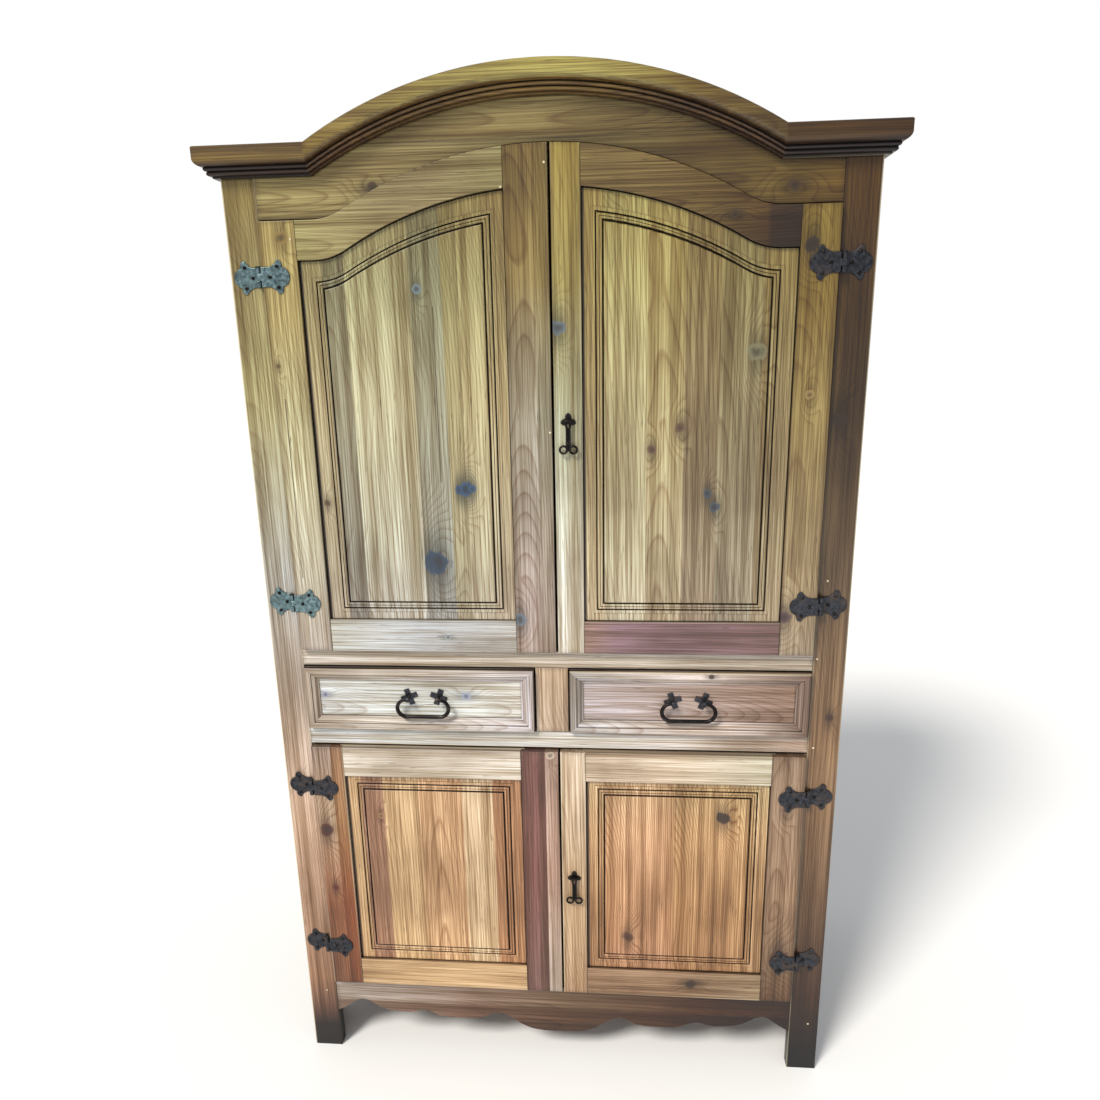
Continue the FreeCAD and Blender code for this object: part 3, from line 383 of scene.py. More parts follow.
def waxed_pine(node, axes, tones, strips, ring=4.0, line=0.55, heart=45.0, knots=(), cracks=(),
               wear_and_highlight=0.5, grime_and_shade=0.5, slope_shade_amount=0.6, recess_dust_and_shade=None, seam_shadow_at=0.0, mitred=False, seed=0.0,
               sheen=0.40, title="waxed pine"):
    """Give a CAD node its own pine.  axes names the directions across, into and along the board.
    tones are (place, colour) along it; strips are (start, distance of the heart, tint) across it;
    knots are (across, along, size, colour) and cracks (across, from, to); sizes in mm."""
    material = bpy.data.materials.new(title + " " + node.replace("_", " "))
    material.use_nodes = True
    tree = material.node_tree
    shader = tree.nodes["Principled BSDF"]
    board = place_in_board(tree, node, axes, mitred)
    board.seed = seed
    board.off, tint = glued_strips(tree, board, strips)
    board.grain = add(tree, "CombineXYZ", {}, {0: board.off, 1: board.into, 2: board.along})
    late, cores = year_rings(tree, board, ring, heart, knots)
    fibres = drawn_out(tree, board, 480.0, 90.0, 3.0, 3.0)
    board.streaks = drawn_out(tree, board, 70.0, 130.0, 3.0, 11.0)
    board.stains = drawn_out(tree, board, 8.0, 2.2, 5.0, 17.0)
    pitch = drawn_out(tree, board, 300.0, 12.0, 1.0, 23.0)
    board.rough = drawn_out(tree, board, 75.0, 1.6, 2.0, 29.0)

    # the colour, from the tone of the board up to the pale arrises; the tones along a board carry painted
    # light too:
    # painted shade near the floor and a pale, bluish painted reflection across the middle of the front
    span = board.top - board.foot
    places = [(min(1.0, max(0.0, (z / 1000 - board.foot) / span)), tone) for z, tone in tones]
    length = add(tree, "MapRange", {}, {"Value": board.length, "From Min": board.foot, "From Max": board.top})
    colour = add(tree, "ValToRGB", {"stops": places}, {"Fac": length}).outputs[0]
    if tint:
        colour = glaze(tree, colour, 1.0, tint)
    lines = add(tree, "Math", {"operation": "MULTIPLY"}, {0: late, 1: line})
    colour = glaze(tree, colour, lines, LATE_WOOD)
    silk = add(tree, "ValToRGB", {"stops": [(0.28, "beb09a"), (0.64, "ffffff")]}, {"Fac": board.streaks})
    colour = glaze(tree, colour, 1.0, silk)
    hair = add(tree, "ValToRGB", {"stops": [(0.34, "b4a58e"), (0.62, "ffffff")]}, {"Fac": fibres})
    colour = glaze(tree, colour, 1.0, hair)
    cloud = add(tree, "ValToRGB", {"stops": [(0.30, "b4a898"), (0.56, "ffffff")]}, {"Fac": board.stains})
    colour = glaze(tree, colour, 0.8, cloud)
    fleck = add(tree, "MapRange", {}, {"Value": pitch, "From Min": 0.69, "From Max": 0.77, "To Max": 0.45})
    colour = glaze(tree, colour, fleck, PITCH)
    colour = draw_knots(tree, board, colour, cores)
    colour = draw_cracks(tree, board, colour, cracks)
    colour, corner = dirt_wear_and_painted_light(tree, board, colour, slope_shade_amount, recess_dust_and_shade, grime_and_shade, seam_shadow_at, wear_and_highlight)
    tree.links.new(colour, shader.inputs["Base Color"])

    # wax fills the soft wood and leaves the hard lines proud; corners are too dusty to shine
    height = add(tree, "Math", {"operation": "MULTIPLY"}, {0: late, 1: LINE_RELIEF})
    height = add(tree, "Math", {"operation": "MULTIPLY_ADD"}, {0: fibres, 1: FIBRE_RELIEF, 2: height})
    height = add(tree, "Math", {"operation": "MULTIPLY_ADD"}, {0: board.stains, 1: BOARD_RELIEF, 2: height})
    bump = add(tree, "Bump", {}, {"Strength": 1.0, "Distance": 1.0, "Height": height})
    tree.links.new(bump.outputs[0], shader.inputs["Normal"])
    gloss = add(tree, "MapRange", {}, {"Value": board.streaks, "To Min": sheen - 0.09,
                                       "To Max": sheen + 0.13})
    gloss = add(tree, "Math", {"operation": "MAXIMUM"}, {0: gloss, 1: corner})
    tree.links.new(gloss.outputs[0], shader.inputs["Roughness"])
    shader.inputs["IOR"].default_value = 1.47
    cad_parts[node].data.materials[0] = material
    pine_materials[node] = material
    return material


print("waxed pine is ready")

# %% [markdown]
# ## The boards of the front
# Every board has its own pine.  The tall doors are olive and honey, the low ones warmer.  Across the middle
# of the front, from the bottoms of the tall doors over the rails and drawers to the low doors, the tones are
# painted nearly white and a little
# blue: a painted reflection of bright light in the wax.  Near the floor the feet are painted nearly black:
# painted shade.

# %% Frame of the front
LEFT, RIGHT = -575, 575
# the stiles are painted nearly black at the floor: painted shade, as the light falls off towards the floor;
# the left one is also painted pale grey about its middle, a painted reflection
waxed_pine("left_front_stile", "XYZ",
           [(0, "0c0503"), (60, "1e0f09"), (110, "694938"), (190, "a07a60"), (600, "dbbea8"),
            (1150, "babebe"), (1500, "c7c595"), (1850, "9c8e55")], [(LEFT, 60, "ffffff")],
           ring=3.4, line=0.35, knots=[(-541, 700, 5, "5b3a28")], wear_and_highlight=0.9, seed=1.0)
waxed_pine("right_front_stile", "XYZ",
           [(0, "090301"), (60, "130804"), (190, "432a1b"), (800, "997b5b"), (1150, "6b573d"),
            (1500, "4b3818"), (1850, "553b0e")], [(512, 70, "ffffff")],
           ring=4.2, line=0.45, knots=[(530, 1448, 11, "2b1c12"), (552, 860, 6, "3a2618")],
           wear_and_highlight=0.6, seed=2.0)
waxed_pine("arched_top_rail", "ZYX",
           [(-512, "a29761"), (-300, "998d5d"), (0, "938b58"), (250, "6a592c"), (400, "725e28"),
            (512, "684f19")],
           [(1815, 22, "ffffff")], ring=5.5, line=0.6, heart=40.0, wear_and_highlight=0.0,
           knots=[(1845, 430, 8, "3a2a16"), (1862, -300, 7, "41301c")], seed=3.0)
waxed_pine("tympanum_board", "ZYX", [(-400, "978a5a"), (0, "a09461"), (400, "847646")],
           [(1900, 30, "ffffff")], ring=5.0, line=0.55, wear_and_highlight=0.0, seed=4.0)
# the rails and the muntin across the middle are painted nearly white and a little blue: a painted reflection
# of bright light in the wax
waxed_pine("mid_rail", "ZYX", [(-512, "f7f7f7"), (-100, "f7f7f7"), (200, "f7f7f7"), (512, "f7f7f7")],
           [(959, 60, "ffffff")], ring=3.6, line=0.35, wear_and_highlight=0.8, seed=5.0)
waxed_pine("lower_rail", "ZYX", [(-512, "e4ecf3"), (-100, "edf4f7"), (200, "f4f5f7"), (512, "d8c4b7")],
           [(783, 50, "ffffff")], ring=4.0, line=0.4, wear_and_highlight=0.8, seed=6.0)
waxed_pine("drawer_muntin", "XYZ", [(820, "e2d0be"), (960, "dec9af")], [(-34, 35, "ffffff")],
           ring=3.4, line=0.5, wear_and_highlight=0.3, seed=7.0)
waxed_pine("scalloped_apron", "ZYX",
           [(-512, "d3d0d1"), (-200, "a08a7e"), (0, "7b644f"), (300, "57361f"), (512, "321708")],
           [(80, 30, "c2ab9a"), (130, 40, "ffffff")],
           ring=4.6, line=0.5, wear_and_highlight=0.2, grime_and_shade=0.8, seed=8.0)
print(len(pine_materials), "frame boards")

# %% [markdown]
# ## Doors
# Each door is a frame of stiles and rails around a raised panel.  The panels are glued from strips of very
# different trees, and the strips run on through the bead and the sunk margin, as they do when the
# moulding is cut after gluing.

# %% Tall left door
# towards their bottoms the boards of this door are painted pale and bluish: a painted reflection of bright
# light in the wax
waxed_pine("upper_left_door_hinge_stile", "XYZ",
           [(997, "c2bbb6"), (1150, "cfcfc1"), (1450, "d9dab2"), (1650, "cec488"), (1810, "beb071")],
           [(-510, 75, "ffffff")], ring=3.8, line=0.5,
           knots=[(-497, 1560, 4, "6b5a34"), (-468, 1784, 9, "7d6838")],
           cracks=[(-492, 1150, 1500)], wear_and_highlight=0.5, seed=11.0)
waxed_pine("upper_left_door_top_rail", "ZYX",
           [(-440, "a49e6b"), (-380, "a9a171"), (-230, "988c64"), (-67, "958f61")],
           [(1735, 60, "ffffff")], ring=3.6, line=0.45, wear_and_highlight=0.0, grime_and_shade=0.2, seed=12.0)
waxed_pine("upper_left_door_bottom_rail", "ZYX", [(-440, "c7cbc7"), (-250, "d7e2f1"), (-67, "cdd1d4")],
           [(997, 60, "ffffff")], ring=4.0, line=0.25, knots=[(1028, -205, 4, "8a8f90")], wear_and_highlight=0.3, seed=13.0)
waxed_pine("upper_left_door_meeting_stile", "XYZ",
           [(997, "c8bab7"), (1100, "bcb0ae"), (1450, "b5b4a6"), (1700, "988855"), (1900, "88753f")],
           [(-67, 8, "ffffff"), (-15, 90, "f4f6ee")], ring=4.4, line=0.6, heart=18.0,
           knots=[(-58, 1066, 9, "5a6570")], wear_and_highlight=0.7, seed=14.0)
waxed_pine("upper_left_door_panel", "XYZ",
           [(1055, "ced0de"), (1200, "c8cccd"), (1500, "c7c7b5"), (1700, "b1b396"), (1850, "9f986f")],
           [(-450, 85, "f2e6c8"), (-403, 18, "c3bfb0"), (-361, 70, "fffde8"), (-243, 55, "cfd0c4"),
            (-185, 80, "d8cea8"), (-155, 70, "f8efcc"), (-108, 60, "f3e3c0")],
           ring=4.4, line=0.5, heart=34.0,
           knots=[(-217, 1183, 17, "1f3448"), (-167, 1325, 7, "2f4a66"), (-155, 1326, 10, "2f4a66"),
                  (-143, 1327, 6, "2f4a66"), (-229, 1690, 6, "66747a"), (-428, 1300, 5, "5d4a2e")],
           cracks=[(-203, 1340, 1660)], wear_and_highlight=0.0, grime_and_shade=0.9, seam_shadow_at=13.5, seed=15.0)
print("tall left door: 5 boards")

# %% Tall right door
# towards their bottoms the meeting stile and the panel are painted pale: a painted reflection of bright light
# in the wax
waxed_pine("upper_right_door_hinge_stile", "XYZ",
           [(997, "aa9c87"), (1150, "b3a380"), (1450, "ac9c65"), (1650, "8a7537"), (1810, "7f6c2e")],
           [(442, 24, "ffffff")], ring=4.6, line=0.5, heart=30.0,
           knots=[(463, 1748, 9, "2c211b"), (473, 1494, 6, "8b7346"), (449, 1076, 9, "4f3a3c")],
           wear_and_highlight=0.4, seed=21.0)
waxed_pine("upper_right_door_top_rail", "ZYX",
           [(67, "8d7d4b"), (200, "7a683a"), (330, "675325"), (385, "584017"), (392, "3e2a12"),
            (442, "382411")],
           [(1735, 14, "ffffff")], ring=5.0, line=0.75, heart=24.0,
           knots=[(1800, 330, 5, "3a2a16")], wear_and_highlight=0.0, grime_and_shade=0.2, seed=22.0)
waxed_pine("upper_right_door_bottom_rail", "ZYX",
           [(67, "a6897d"), (130, "9b7e8c"), (300, "90727c"), (442, "816564")],
           [(997, 60, "ffffff")], ring=3.6, line=0.3, wear_and_highlight=0.2, seed=23.0)
waxed_pine("upper_right_door_meeting_stile", "XYZ",
           [(997, "f5f5ef"), (1150, "ecf1e8"), (1450, "bbc2a7"), (1700, "a79d5f"), (1900, "9f8e47")],
           [(15, 55, "ffffff")], ring=3.8, line=0.3,
           knots=[(25, 1620, 9, "59626a")], wear_and_highlight=0.7, seed=24.0)
waxed_pine("upper_right_door_panel", "XYZ",
           [(1055, "d2d2d7"), (1200, "cfd2cf"), (1500, "c7c8b2"), (1700, "b9b88f"), (1860, "a9a675")],
           [(60, 80, "eedcb4"), (106, 75, "faf3d3"), (184, 3, "fbefca"), (251, 66, "c5b396"),
            (314, 40, "ccc2a8"), (385, 85, "d3c29e")],
           ring=5.2, line=0.6, heart=26.0,
           knots=[(298, 1317, 6, "37424c"), (311, 1289, 7, "37424c"), (245, 1438, 7, "5b4230"),
                  (194, 1398, 6, "5b4230"), (378, 1570, 11, "6e6a50"), (120, 1880, 9, "6a5a2c")],
           wear_and_highlight=0.0, grime_and_shade=0.9, seam_shadow_at=13.5, seed=25.0)
print("tall right door: 5 boards")

# %% Low doors
# the rails and panels of the low doors are painted nearly white, a little blue in places: a painted
# reflection of bright light in the wax
waxed_pine("lower_left_door_hinge_stile", "XYZ",
           [(190, "80553a"), (400, "ad734f"), (620, "c9b299"), (780, "b8a69e")],
           [(-510, 30, "ffffff"), (-470, 75, "f3d6b0")], ring=4.6, line=0.7, heart=26.0,
           knots=[(-492, 583, 10, "451d16"), (-485, 440, 6, "5a2214")], wear_and_highlight=0.5, seed=31.0)
waxed_pine("lower_left_door_rails", "ZYX", [(-442, "f7f7f7"), (-250, "f7f7f7"), (-67, "f7f7f7")],
           [(190, 30, "f7d9af"), (480, 60, "f1ede5")], ring=4.2, line=0.4, wear_and_highlight=0.4, seed=32.0)
waxed_pine("lower_left_door_meeting_stile", "XYZ", [(190, "d3d3da"), (500, "c9b2b1"), (780, "cfbfc2")],
           [(-67, 70, "a88078"), (-30, 50, "9f7c72"), (-17, 90, "f6ead8")], ring=3.6, line=0.45,
           knots=[(-6, 771, 6, "b9a894")], wear_and_highlight=0.8, seed=33.0)
waxed_pine("lower_left_door_panel", "XYZ",
           [(250, "f7f4ee"), (400, "f7f7f7"), (600, "f7f7f7"), (725, "f7f7f7")],
           [(-450, 85, "f0d0a4"), (-411, 40, "b99178"), (-364, 60, "f0d2a6"), (-287, 12, "f0caa0"),
            (-194, 80, "f8e1be"), (-128, 60, "cfa078")], ring=5.0, line=0.62, heart=30.0,
           knots=[(-372, 620, 5, "8c6a48")], wear_and_highlight=0.0, grime_and_shade=0.9, seam_shadow_at=13.5, seed=34.0)
waxed_pine("lower_right_door_hinge_stile", "XYZ", [(190, "63482f"), (450, "a68a70"), (780, "a28b75")],
           [(442, 14, "ffffff")], ring=4.6, line=0.6, heart=22.0,
           knots=[(478, 306, 12, "3c2620"), (474, 660, 7, "6a5140")], wear_and_highlight=0.5, seed=35.0)
waxed_pine("lower_right_door_rails", "ZYX", [(67, "f7f7f7"), (250, "f7f7f7"), (442, "e8f6f7")],
           [(190, 40, "b99b7f"), (480, 22, "eadcc9")], ring=4.8, line=0.5, heart=28.0,
           knots=[(226, 293, 8, "35261c")], wear_and_highlight=0.4, seed=36.0)
waxed_pine("lower_right_door_meeting_stile", "XYZ", [(190, "c1a283"), (450, "e0c7a6"), (780, "f4e7d5")],
           [(15, 45, "ffffff")], ring=4.0, line=0.55, wear_and_highlight=0.6, seed=37.0)
waxed_pine("lower_right_door_panel", "XYZ",
           [(250, "d6cecc"), (400, "e8e3dd"), (600, "f4f7f7"), (725, "e5f6f7")],
           [(60, 85, "ecc498"), (103, 96, "f3c69e"), (250, 84, "dfb686"), (378, 70, "e1bb8b"),
            (413, 80, "e9c79a")], ring=3.4, line=0.9, heart=60.0,
           knots=[(349, 637, 10, "241a18"), (155, 339, 9, "4a2c1c")],
           wear_and_highlight=0.0, grime_and_shade=0.9, seam_shadow_at=13.5, seed=38.0)
print("low doors: 8 boards")

# %% Drawers
# the drawer fronts and mouldings are painted nearly white and a little blue: a painted reflection of bright
# light in the wax
waxed_pine("left_drawer_front", "ZYX",
           [(-509, "d6dde3"), (-400, "e1eaef"), (-200, "e8f3f7"), (-36, "e8e9e8")],
           [(822, 26, "ffffff")], ring=4.4, line=0.45,
           knots=[(896, -177, 7, "8c91a4"), (895, -472, 5, "8a8ba0")], wear_and_highlight=0.0, seed=41.0)
waxed_pine("left_drawer_moulding", "ZYX", [(-509, "bcb0a2"), (-300, "f7f7f7"), (-36, "dad8e3")],
           [(822, 60, "ffffff")], ring=3.6, line=0.45, mitred=True, wear_and_highlight=0.7, grime_and_shade=0.5,
           slope_shade_amount=1.0, seed=42.0)
waxed_pine("right_drawer_front", "ZYX", [(36, "cdc8d3"), (270, "b9a9a4"), (509, "a78a7a")],
           [(822, 20, "ffffff")], ring=4.6, line=0.6, heart=26.0, wear_and_highlight=0.0, seed=43.0)
waxed_pine("right_drawer_moulding", "ZYX", [(36, "bbbcc0"), (300, "f7eeed"), (509, "836c60")],
           [(822, 60, "ffffff")], ring=3.6, line=0.5, mitred=True, knots=[(950, 317, 4, "3c2c24")],
           wear_and_highlight=0.7, grime_and_shade=0.5, slope_shade_amount=1.0, seed=44.0)
for side in ("left", "right"):
    waxed_pine(side + "_drawer_box", "ZXY", [(-265, "cdb083"), (235, "c4a678")], [(819, 60, "ffffff")],
               ring=5.0, line=0.35, wear_and_highlight=0.1, seed=45.0, sheen=0.6, title="bare pine")
print("drawers: 6 nodes")

# %% [markdown]
# ## Crown
# The crown is one moulding: a level piece at each end, an arch between, and a return along each side.
# Its cove and hollows are darker than the rest: wax and dust, and painted shade, laid on by depth and by how
# far a face turns from the front.

# %% Crown and sides
# the depths between which the crown's cove is darkened: wax and dust, and painted shade
COVE = (-294.5, -291.0)
waxed_pine("crown_centre_arch", "ZYX",
           [(-408, "7c6626"), (-250, "998a45"), (0, "d7d57d"), (250, "7b672e"), (408, "5a4821")],
           [(1885, 40, "ffffff")], ring=4.4, line=0.55, wear_and_highlight=0.0, grime_and_shade=0.0, slope_shade_amount=0.45,
           recess_dust_and_shade=(*COVE, "c8a890"), seed=51.0)
# the ends and returns are tinted darker below 1902 mm, where the beads are: wax and dust, and painted shade
waxed_pine("crown_front_ends", "ZYX",
           [(-608, "786128"), (-408, "78632c"), (408, "573e11"), (608, "49300a")],
           [(1885, 40, "a08a70"), (1902, 40, "ffffff")], ring=4.0, line=0.5, wear_and_highlight=0.3, grime_and_shade=0.2,
           slope_shade_amount=0.45, recess_dust_and_shade=(*COVE, "b89880"), seed=52.0)
waxed_pine("crown_side_returns", "ZXY", [(-296, "7a5c34"), (296, "6f5430")],
           [(1885, 40, "a08a70"), (1902, 40, "ffffff")], ring=4.0, line=0.5, wear_and_highlight=0.4, seed=53.0)
# the side panels are painted dark near the floor: painted shade
for side, tone in (("left", "a08a66"), ("right", "86705a")):
    waxed_pine(side + "_side_panel", "YXZ", [(0, "35231a"), (160, "7c6450"), (900, tone), (1935, "8b774f")],
               [(-240, 60, "ffffff"), (-60, 14, "e9dcc4"), (130, 80, "f6efdc")],
               ring=5.0, line=0.5, heart=36.0, knots=[(-150, 1340, 11, "5a4028"), (60, 620, 9, "5a4028")],
               wear_and_highlight=0.2, seed=54.0)
print("crown and sides: 5 nodes")

# %% [markdown]
# ## Bare pine inside
# Nobody waxes the back and the inside of a wardrobe.  Its boards are the same pine, paler, drier and duller.

# %% Inside and back
boards = [(-575 + 144 * i, (70, 16, 50, 90, 24, 60, 34, 80)[i], tint) for i, tint in enumerate(
    ("ffffff", "eee0c8", "fff4e0", "e6d6bc", "fbeed6", "efe2ca", "fff8ea", "eadcc4"))]
waxed_pine("back_boards", "XYZ", [(105, "a88b60"), (1000, "bd9f70"), (1935, "b09365")], boards,
           ring=5.0, line=0.5, heart=30.0, wear_and_highlight=0.2, seed=61.0, sheen=0.62, title="bare pine",
           knots=[(-480, 700, 12, "5c4028"), (-200, 1500, 11, "5c4028"), (230, 460, 13, "5c4028"),
                  (330, 1250, 10, "5c4028")])
for number, node in enumerate(("bottom_deck", "drawer_deck", "upper_deck", "roof_board", "lower_shelf",
                               "upper_shelf", "shelf_cleats", "drawer_guides")):
    waxed_pine(node, "YZX", [(-555, "bfa173"), (0, "c9ab7c"), (555, "bb9d6e")],
               [(-265, 60, "ffffff"), (-90, 20, "f1e4cc"), (95, 80, "f8efdd")],
               ring=5.0, line=0.4, wear_and_highlight=0.1, seed=62.0 + number, sheen=0.6, title="bare pine")
print(len(pine_materials), "pine boards in all")

# %% [markdown]
# ## Wrought iron
# The hinges, pulls and nails are forged by hand from black iron, oiled and worn by years of hands.
# Hammered iron is a dark metal whose flats catch the light one by one, with brown rust in the hollows.

# %% The wrought iron material
def wrought_iron(title, dark, bright, rust, hammer=0.0035, gloss=0.42):
    """Forged iron: two greys of scale, some rust, painted shade in its corners, and a hammered surface."""
    material = bpy.data.materials.new(title)
    material.use_nodes = True
    tree = material.node_tree
    shader = tree.nodes["Principled BSDF"]
    where = add(tree, "TexCoord", {}, {}).outputs["Object"]
    scale = add(tree, "TexNoise", {}, {"Vector": where, "Scale": 160.0, "Detail": 5.0, "Roughness": 0.65})
    tone = add(tree, "ValToRGB", {"stops": [(0.30, dark), (0.70, bright)]}, {"Fac": scale})
    patch = add(tree, "TexNoise", {}, {"Vector": where, "Scale": 55.0, "Detail": 3.0})
    amount = add(tree, "MapRange", {}, {"Value": patch, "From Min": 0.52, "From Max": 0.70, "To Max": 0.75})
    colour = add(tree, "Mix", {"data_type": "RGBA"}, {0: amount, 6: tone, 7: linear(rust)})
    # painted shade: the iron is darkened in its corners, as far as a 4 mm occlusion ray finds a wall
    corner = add(tree, "AmbientOcclusion", {"samples": 4}, {"Distance": 0.004})
    iron_corner_shade = add(tree, "MapRange", {}, {"Value": corner.outputs["AO"], "From Min": 0.45, "From Max": 0.85,
                                      "To Min": 0.92, "To Max": 0.0})
    colour = add(tree, "Mix", {"data_type": "RGBA"}, {0: iron_corner_shade, 6: colour.outputs[2], 7: linear("0c0a08")})
    tree.links.new(colour.outputs[2], shader.inputs["Base Color"])
    bare = add(tree, "MapRange", {}, {"Value": amount, "From Max": 0.75, "To Min": 0.85, "To Max": 0.35})
    tree.links.new(bare.outputs[0], shader.inputs["Metallic"])
    rough = add(tree, "MapRange", {}, {"Value": scale, "To Min": gloss - 0.1, "To Max": gloss + 0.2})
    tree.links.new(rough.outputs[0], shader.inputs["Roughness"])
    blows = add(tree, "TexVoronoi", {"feature": "SMOOTH_F1"}, {"Vector": where, "Scale": 1 / hammer})
    height = add(tree, "Math", {"operation": "MULTIPLY"}, {0: blows, 1: hammer * 0.03})
    height = add(tree, "Math", {"operation": "MULTIPLY_ADD"}, {0: scale, 1: 0.00005, 2: height})
    bump = add(tree, "Bump", {}, {"Strength": 1.0, "Distance": 1.0, "Height": height})
    tree.links.new(bump.outputs[0], shader.inputs["Normal"])
    return material


grey_iron = wrought_iron("wrought iron, oiled grey", "1b1c20", "45474d", "3a2a20")
blue_iron = wrought_iron("wrought iron, worn blue", "2c3c3e", "7f989c", "3c4648", gloss=0.33)
black_iron = wrought_iron("wrought iron, black from hands", "0b0a0a", "262321", "251a14",
                          hammer=0.006, gloss=0.34)
iron_nodes = [name for name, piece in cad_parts.items()
              if piece.data.materials[0].name.startswith("wrought_iron")]
for node in iron_nodes:
    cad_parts[node].data.materials[0] = black_iron
print(len(iron_nodes), "iron nodes")

# %% [markdown]
# ## Hinge leaves
# A leaf is sawn from sheet iron, so its outline is exact and comes from the CAD node, but then the smith
# hammers it on the anvil: the edges go round and the flats turn uneven.  A copy of the node is merged into
# one skin and taken apart into leaves, and the leaves are rebuilt from small voxels, which rounds them,
# relaxed, and pushed in and out by a cloudy pattern, a fifth of a millimetre each way.  Then the nails go in.

# %% Take a copy of a node apart
def deselect():
    """Operators act on all that is selected, so each step starts with nothing selected."""
    if bpy.context.object and bpy.context.object.mode != "OBJECT":
        bpy.ops.object.mode_set(mode="OBJECT")
    bpy.ops.object.select_all(action="DESELECT")


def activate(piece):
    """Select one piece alone and make it the active one."""
    deselect()
    piece.select_set(True)
    bpy.context.view_layer.objects.active = piece


def loose_parts(node):
    """Copies of the separate solids of a CAD node, each merged into one skin."""
    copy = bpy.data.objects.new(node + "_copy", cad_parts[node].data.copy())
    bpy.context.scene.collection.objects.link(copy)
    activate(copy)
    bpy.ops.object.mode_set(mode="EDIT")
    bpy.ops.mesh.select_all(action="SELECT")
    bpy.ops.mesh.remove_doubles(threshold=0.000002)
    bpy.ops.mesh.separate(type="LOOSE")
    bpy.ops.object.mode_set(mode="OBJECT")
    return list(bpy.context.selected_objects)


def middle(piece):
    """Middle of a piece's box."""
    corners = [Vector(c) for c in piece.bound_box]
    return sum(corners, Vector()) / 8


def join(pieces, name):
    """Make one piece of several."""
    activate(pieces[0])
    for piece in pieces:
        piece.select_set(True)
    if len(pieces) > 1:
        bpy.ops.object.join()
    bpy.context.object.name = name
    return bpy.context.object


clouds = bpy.data.textures.new("hammer marks", "CLOUDS")
clouds.noise_scale = 0.007


def forge(piece, voxel, depth):
    """Round a piece's edges and make its faces uneven, as hammering does.  Sizes in metres."""
    activate(piece)
    remesh = piece.modifiers.new("voxels", "REMESH")
    remesh.mode = "VOXEL"
    remesh.voxel_size = voxel
    bpy.ops.object.modifier_apply(modifier=remesh.name)
    relax = piece.modifiers.new("relax", "SMOOTH")
    relax.factor = 0.5
    relax.iterations = 3
    bpy.ops.object.modifier_apply(modifier=relax.name)
    marks = piece.modifiers.new("marks", "DISPLACE")
    marks.texture = clouds
    marks.texture_coords = "LOCAL"
    marks.strength = depth
    marks.mid_level = 0.5
    bpy.ops.object.modifier_apply(modifier=marks.name)
    bpy.ops.object.shade_smooth()
    return piece


print("forging tools are ready")

# %% [markdown]
# ## Nails
# The leaves are held by hand-made nails.  The head is a small, low dome.  It starts as
# a ball with few sides, its back half is cut away, the front is flattened, and a few blows move its corners.

# %% Model one nail head
deselect()
bpy.ops.mesh.primitive_uv_sphere_add(segments=12, ring_count=8, radius=0.0034)
nail_head = bpy.context.object
bpy.ops.object.mode_set(mode="EDIT")
bpy.ops.mesh.select_all(action="SELECT")
bpy.ops.mesh.bisect(plane_co=(0, 0, 0), plane_no=(0, 0, -1), clear_outer=True, use_fill=True)
bpy.ops.mesh.select_all(action="SELECT")
bpy.ops.transform.resize(value=(1.0, 1.0, 0.5))
bpy.ops.transform.vertex_random(offset=0.0003, seed=4)
bpy.ops.transform.rotate(value=math.radians(-90), orient_axis="X", center_override=(0, 0, 0))
bpy.ops.mesh.normals_make_consistent(inside=False)
bpy.ops.object.mode_set(mode="OBJECT")
low = min(v.co.y for v in nail_head.data.vertices)
print("nail head reaches", round(low * 1000, 2), "mm,", len(nail_head.data.polygons), "faces")
if low > -0.001:
    nail_head.data.transform(Matrix.Rotation(math.pi, 4, "X"))
nail_head.data.materials.append(black_iron)


def nails_at(places, name):
    """Copies of the nail head at (x, y, z), each turned its own way."""
    pieces = []
    for number, place in enumerate(places):
        copy = bpy.data.objects.new("nail", nail_head.data.copy())
        copy.data.transform(Matrix.Translation(place) @ Matrix.Rotation(number * 2.1, 4, "Y"))
        bpy.context.scene.collection.objects.link(copy)
        pieces.append(copy)
    return join(pieces, name)


# %% Forge the leaves and drive the nails
AXIS = 0.5175                           # from the middle of the case to a hinge's barrel
HEIGHTS = (0.290, 0.685, 1.097, 1.7175)
DOORS_MEET = 0.9                        # the low doors end below this height, the tall ones begin above it
SPREAD = 0.018                          # from a hinge's middle to a nail of the pair
DOOR_LEAF = (-0.2795, 0.023, 0.037)     # its face, then from the barrel to the single nail and to the pair
FRAME_LEAF = (-0.2655, -0.015, -0.029)  # the same, on the other side of the barrel
VOXEL, MARKS = 0.0008, 0.0004


def nail_places(body):
    """Where the nails of a body's leaves are: one near each barrel and a pair farther out."""
    on_door = body != "case"
    face, single, pair = DOOR_LEAF if on_door else FRAME_LEAF
    signs = {"left": (-1,), "right": (1,)}.get(body.split("_")[1] if on_door else "", (-1, 1))
    heights = [z for z in HEIGHTS if not on_door or (z > DOORS_MEET) == body.startswith("upper")]
    spots = []
    for sign in signs:
        for z in heights:
            spots.append(Vector((sign * (AXIS - single), face, z)))
            spots += [Vector((sign * (AXIS - pair), face, z + dz)) for dz in (-SPREAD, SPREAD)]
    return spots


def upper_left(point):
    """Whether a point belongs to the upper left hinges, whose iron is worn to a blue sheen."""
    return point.x < 0 and point.z > DOORS_MEET


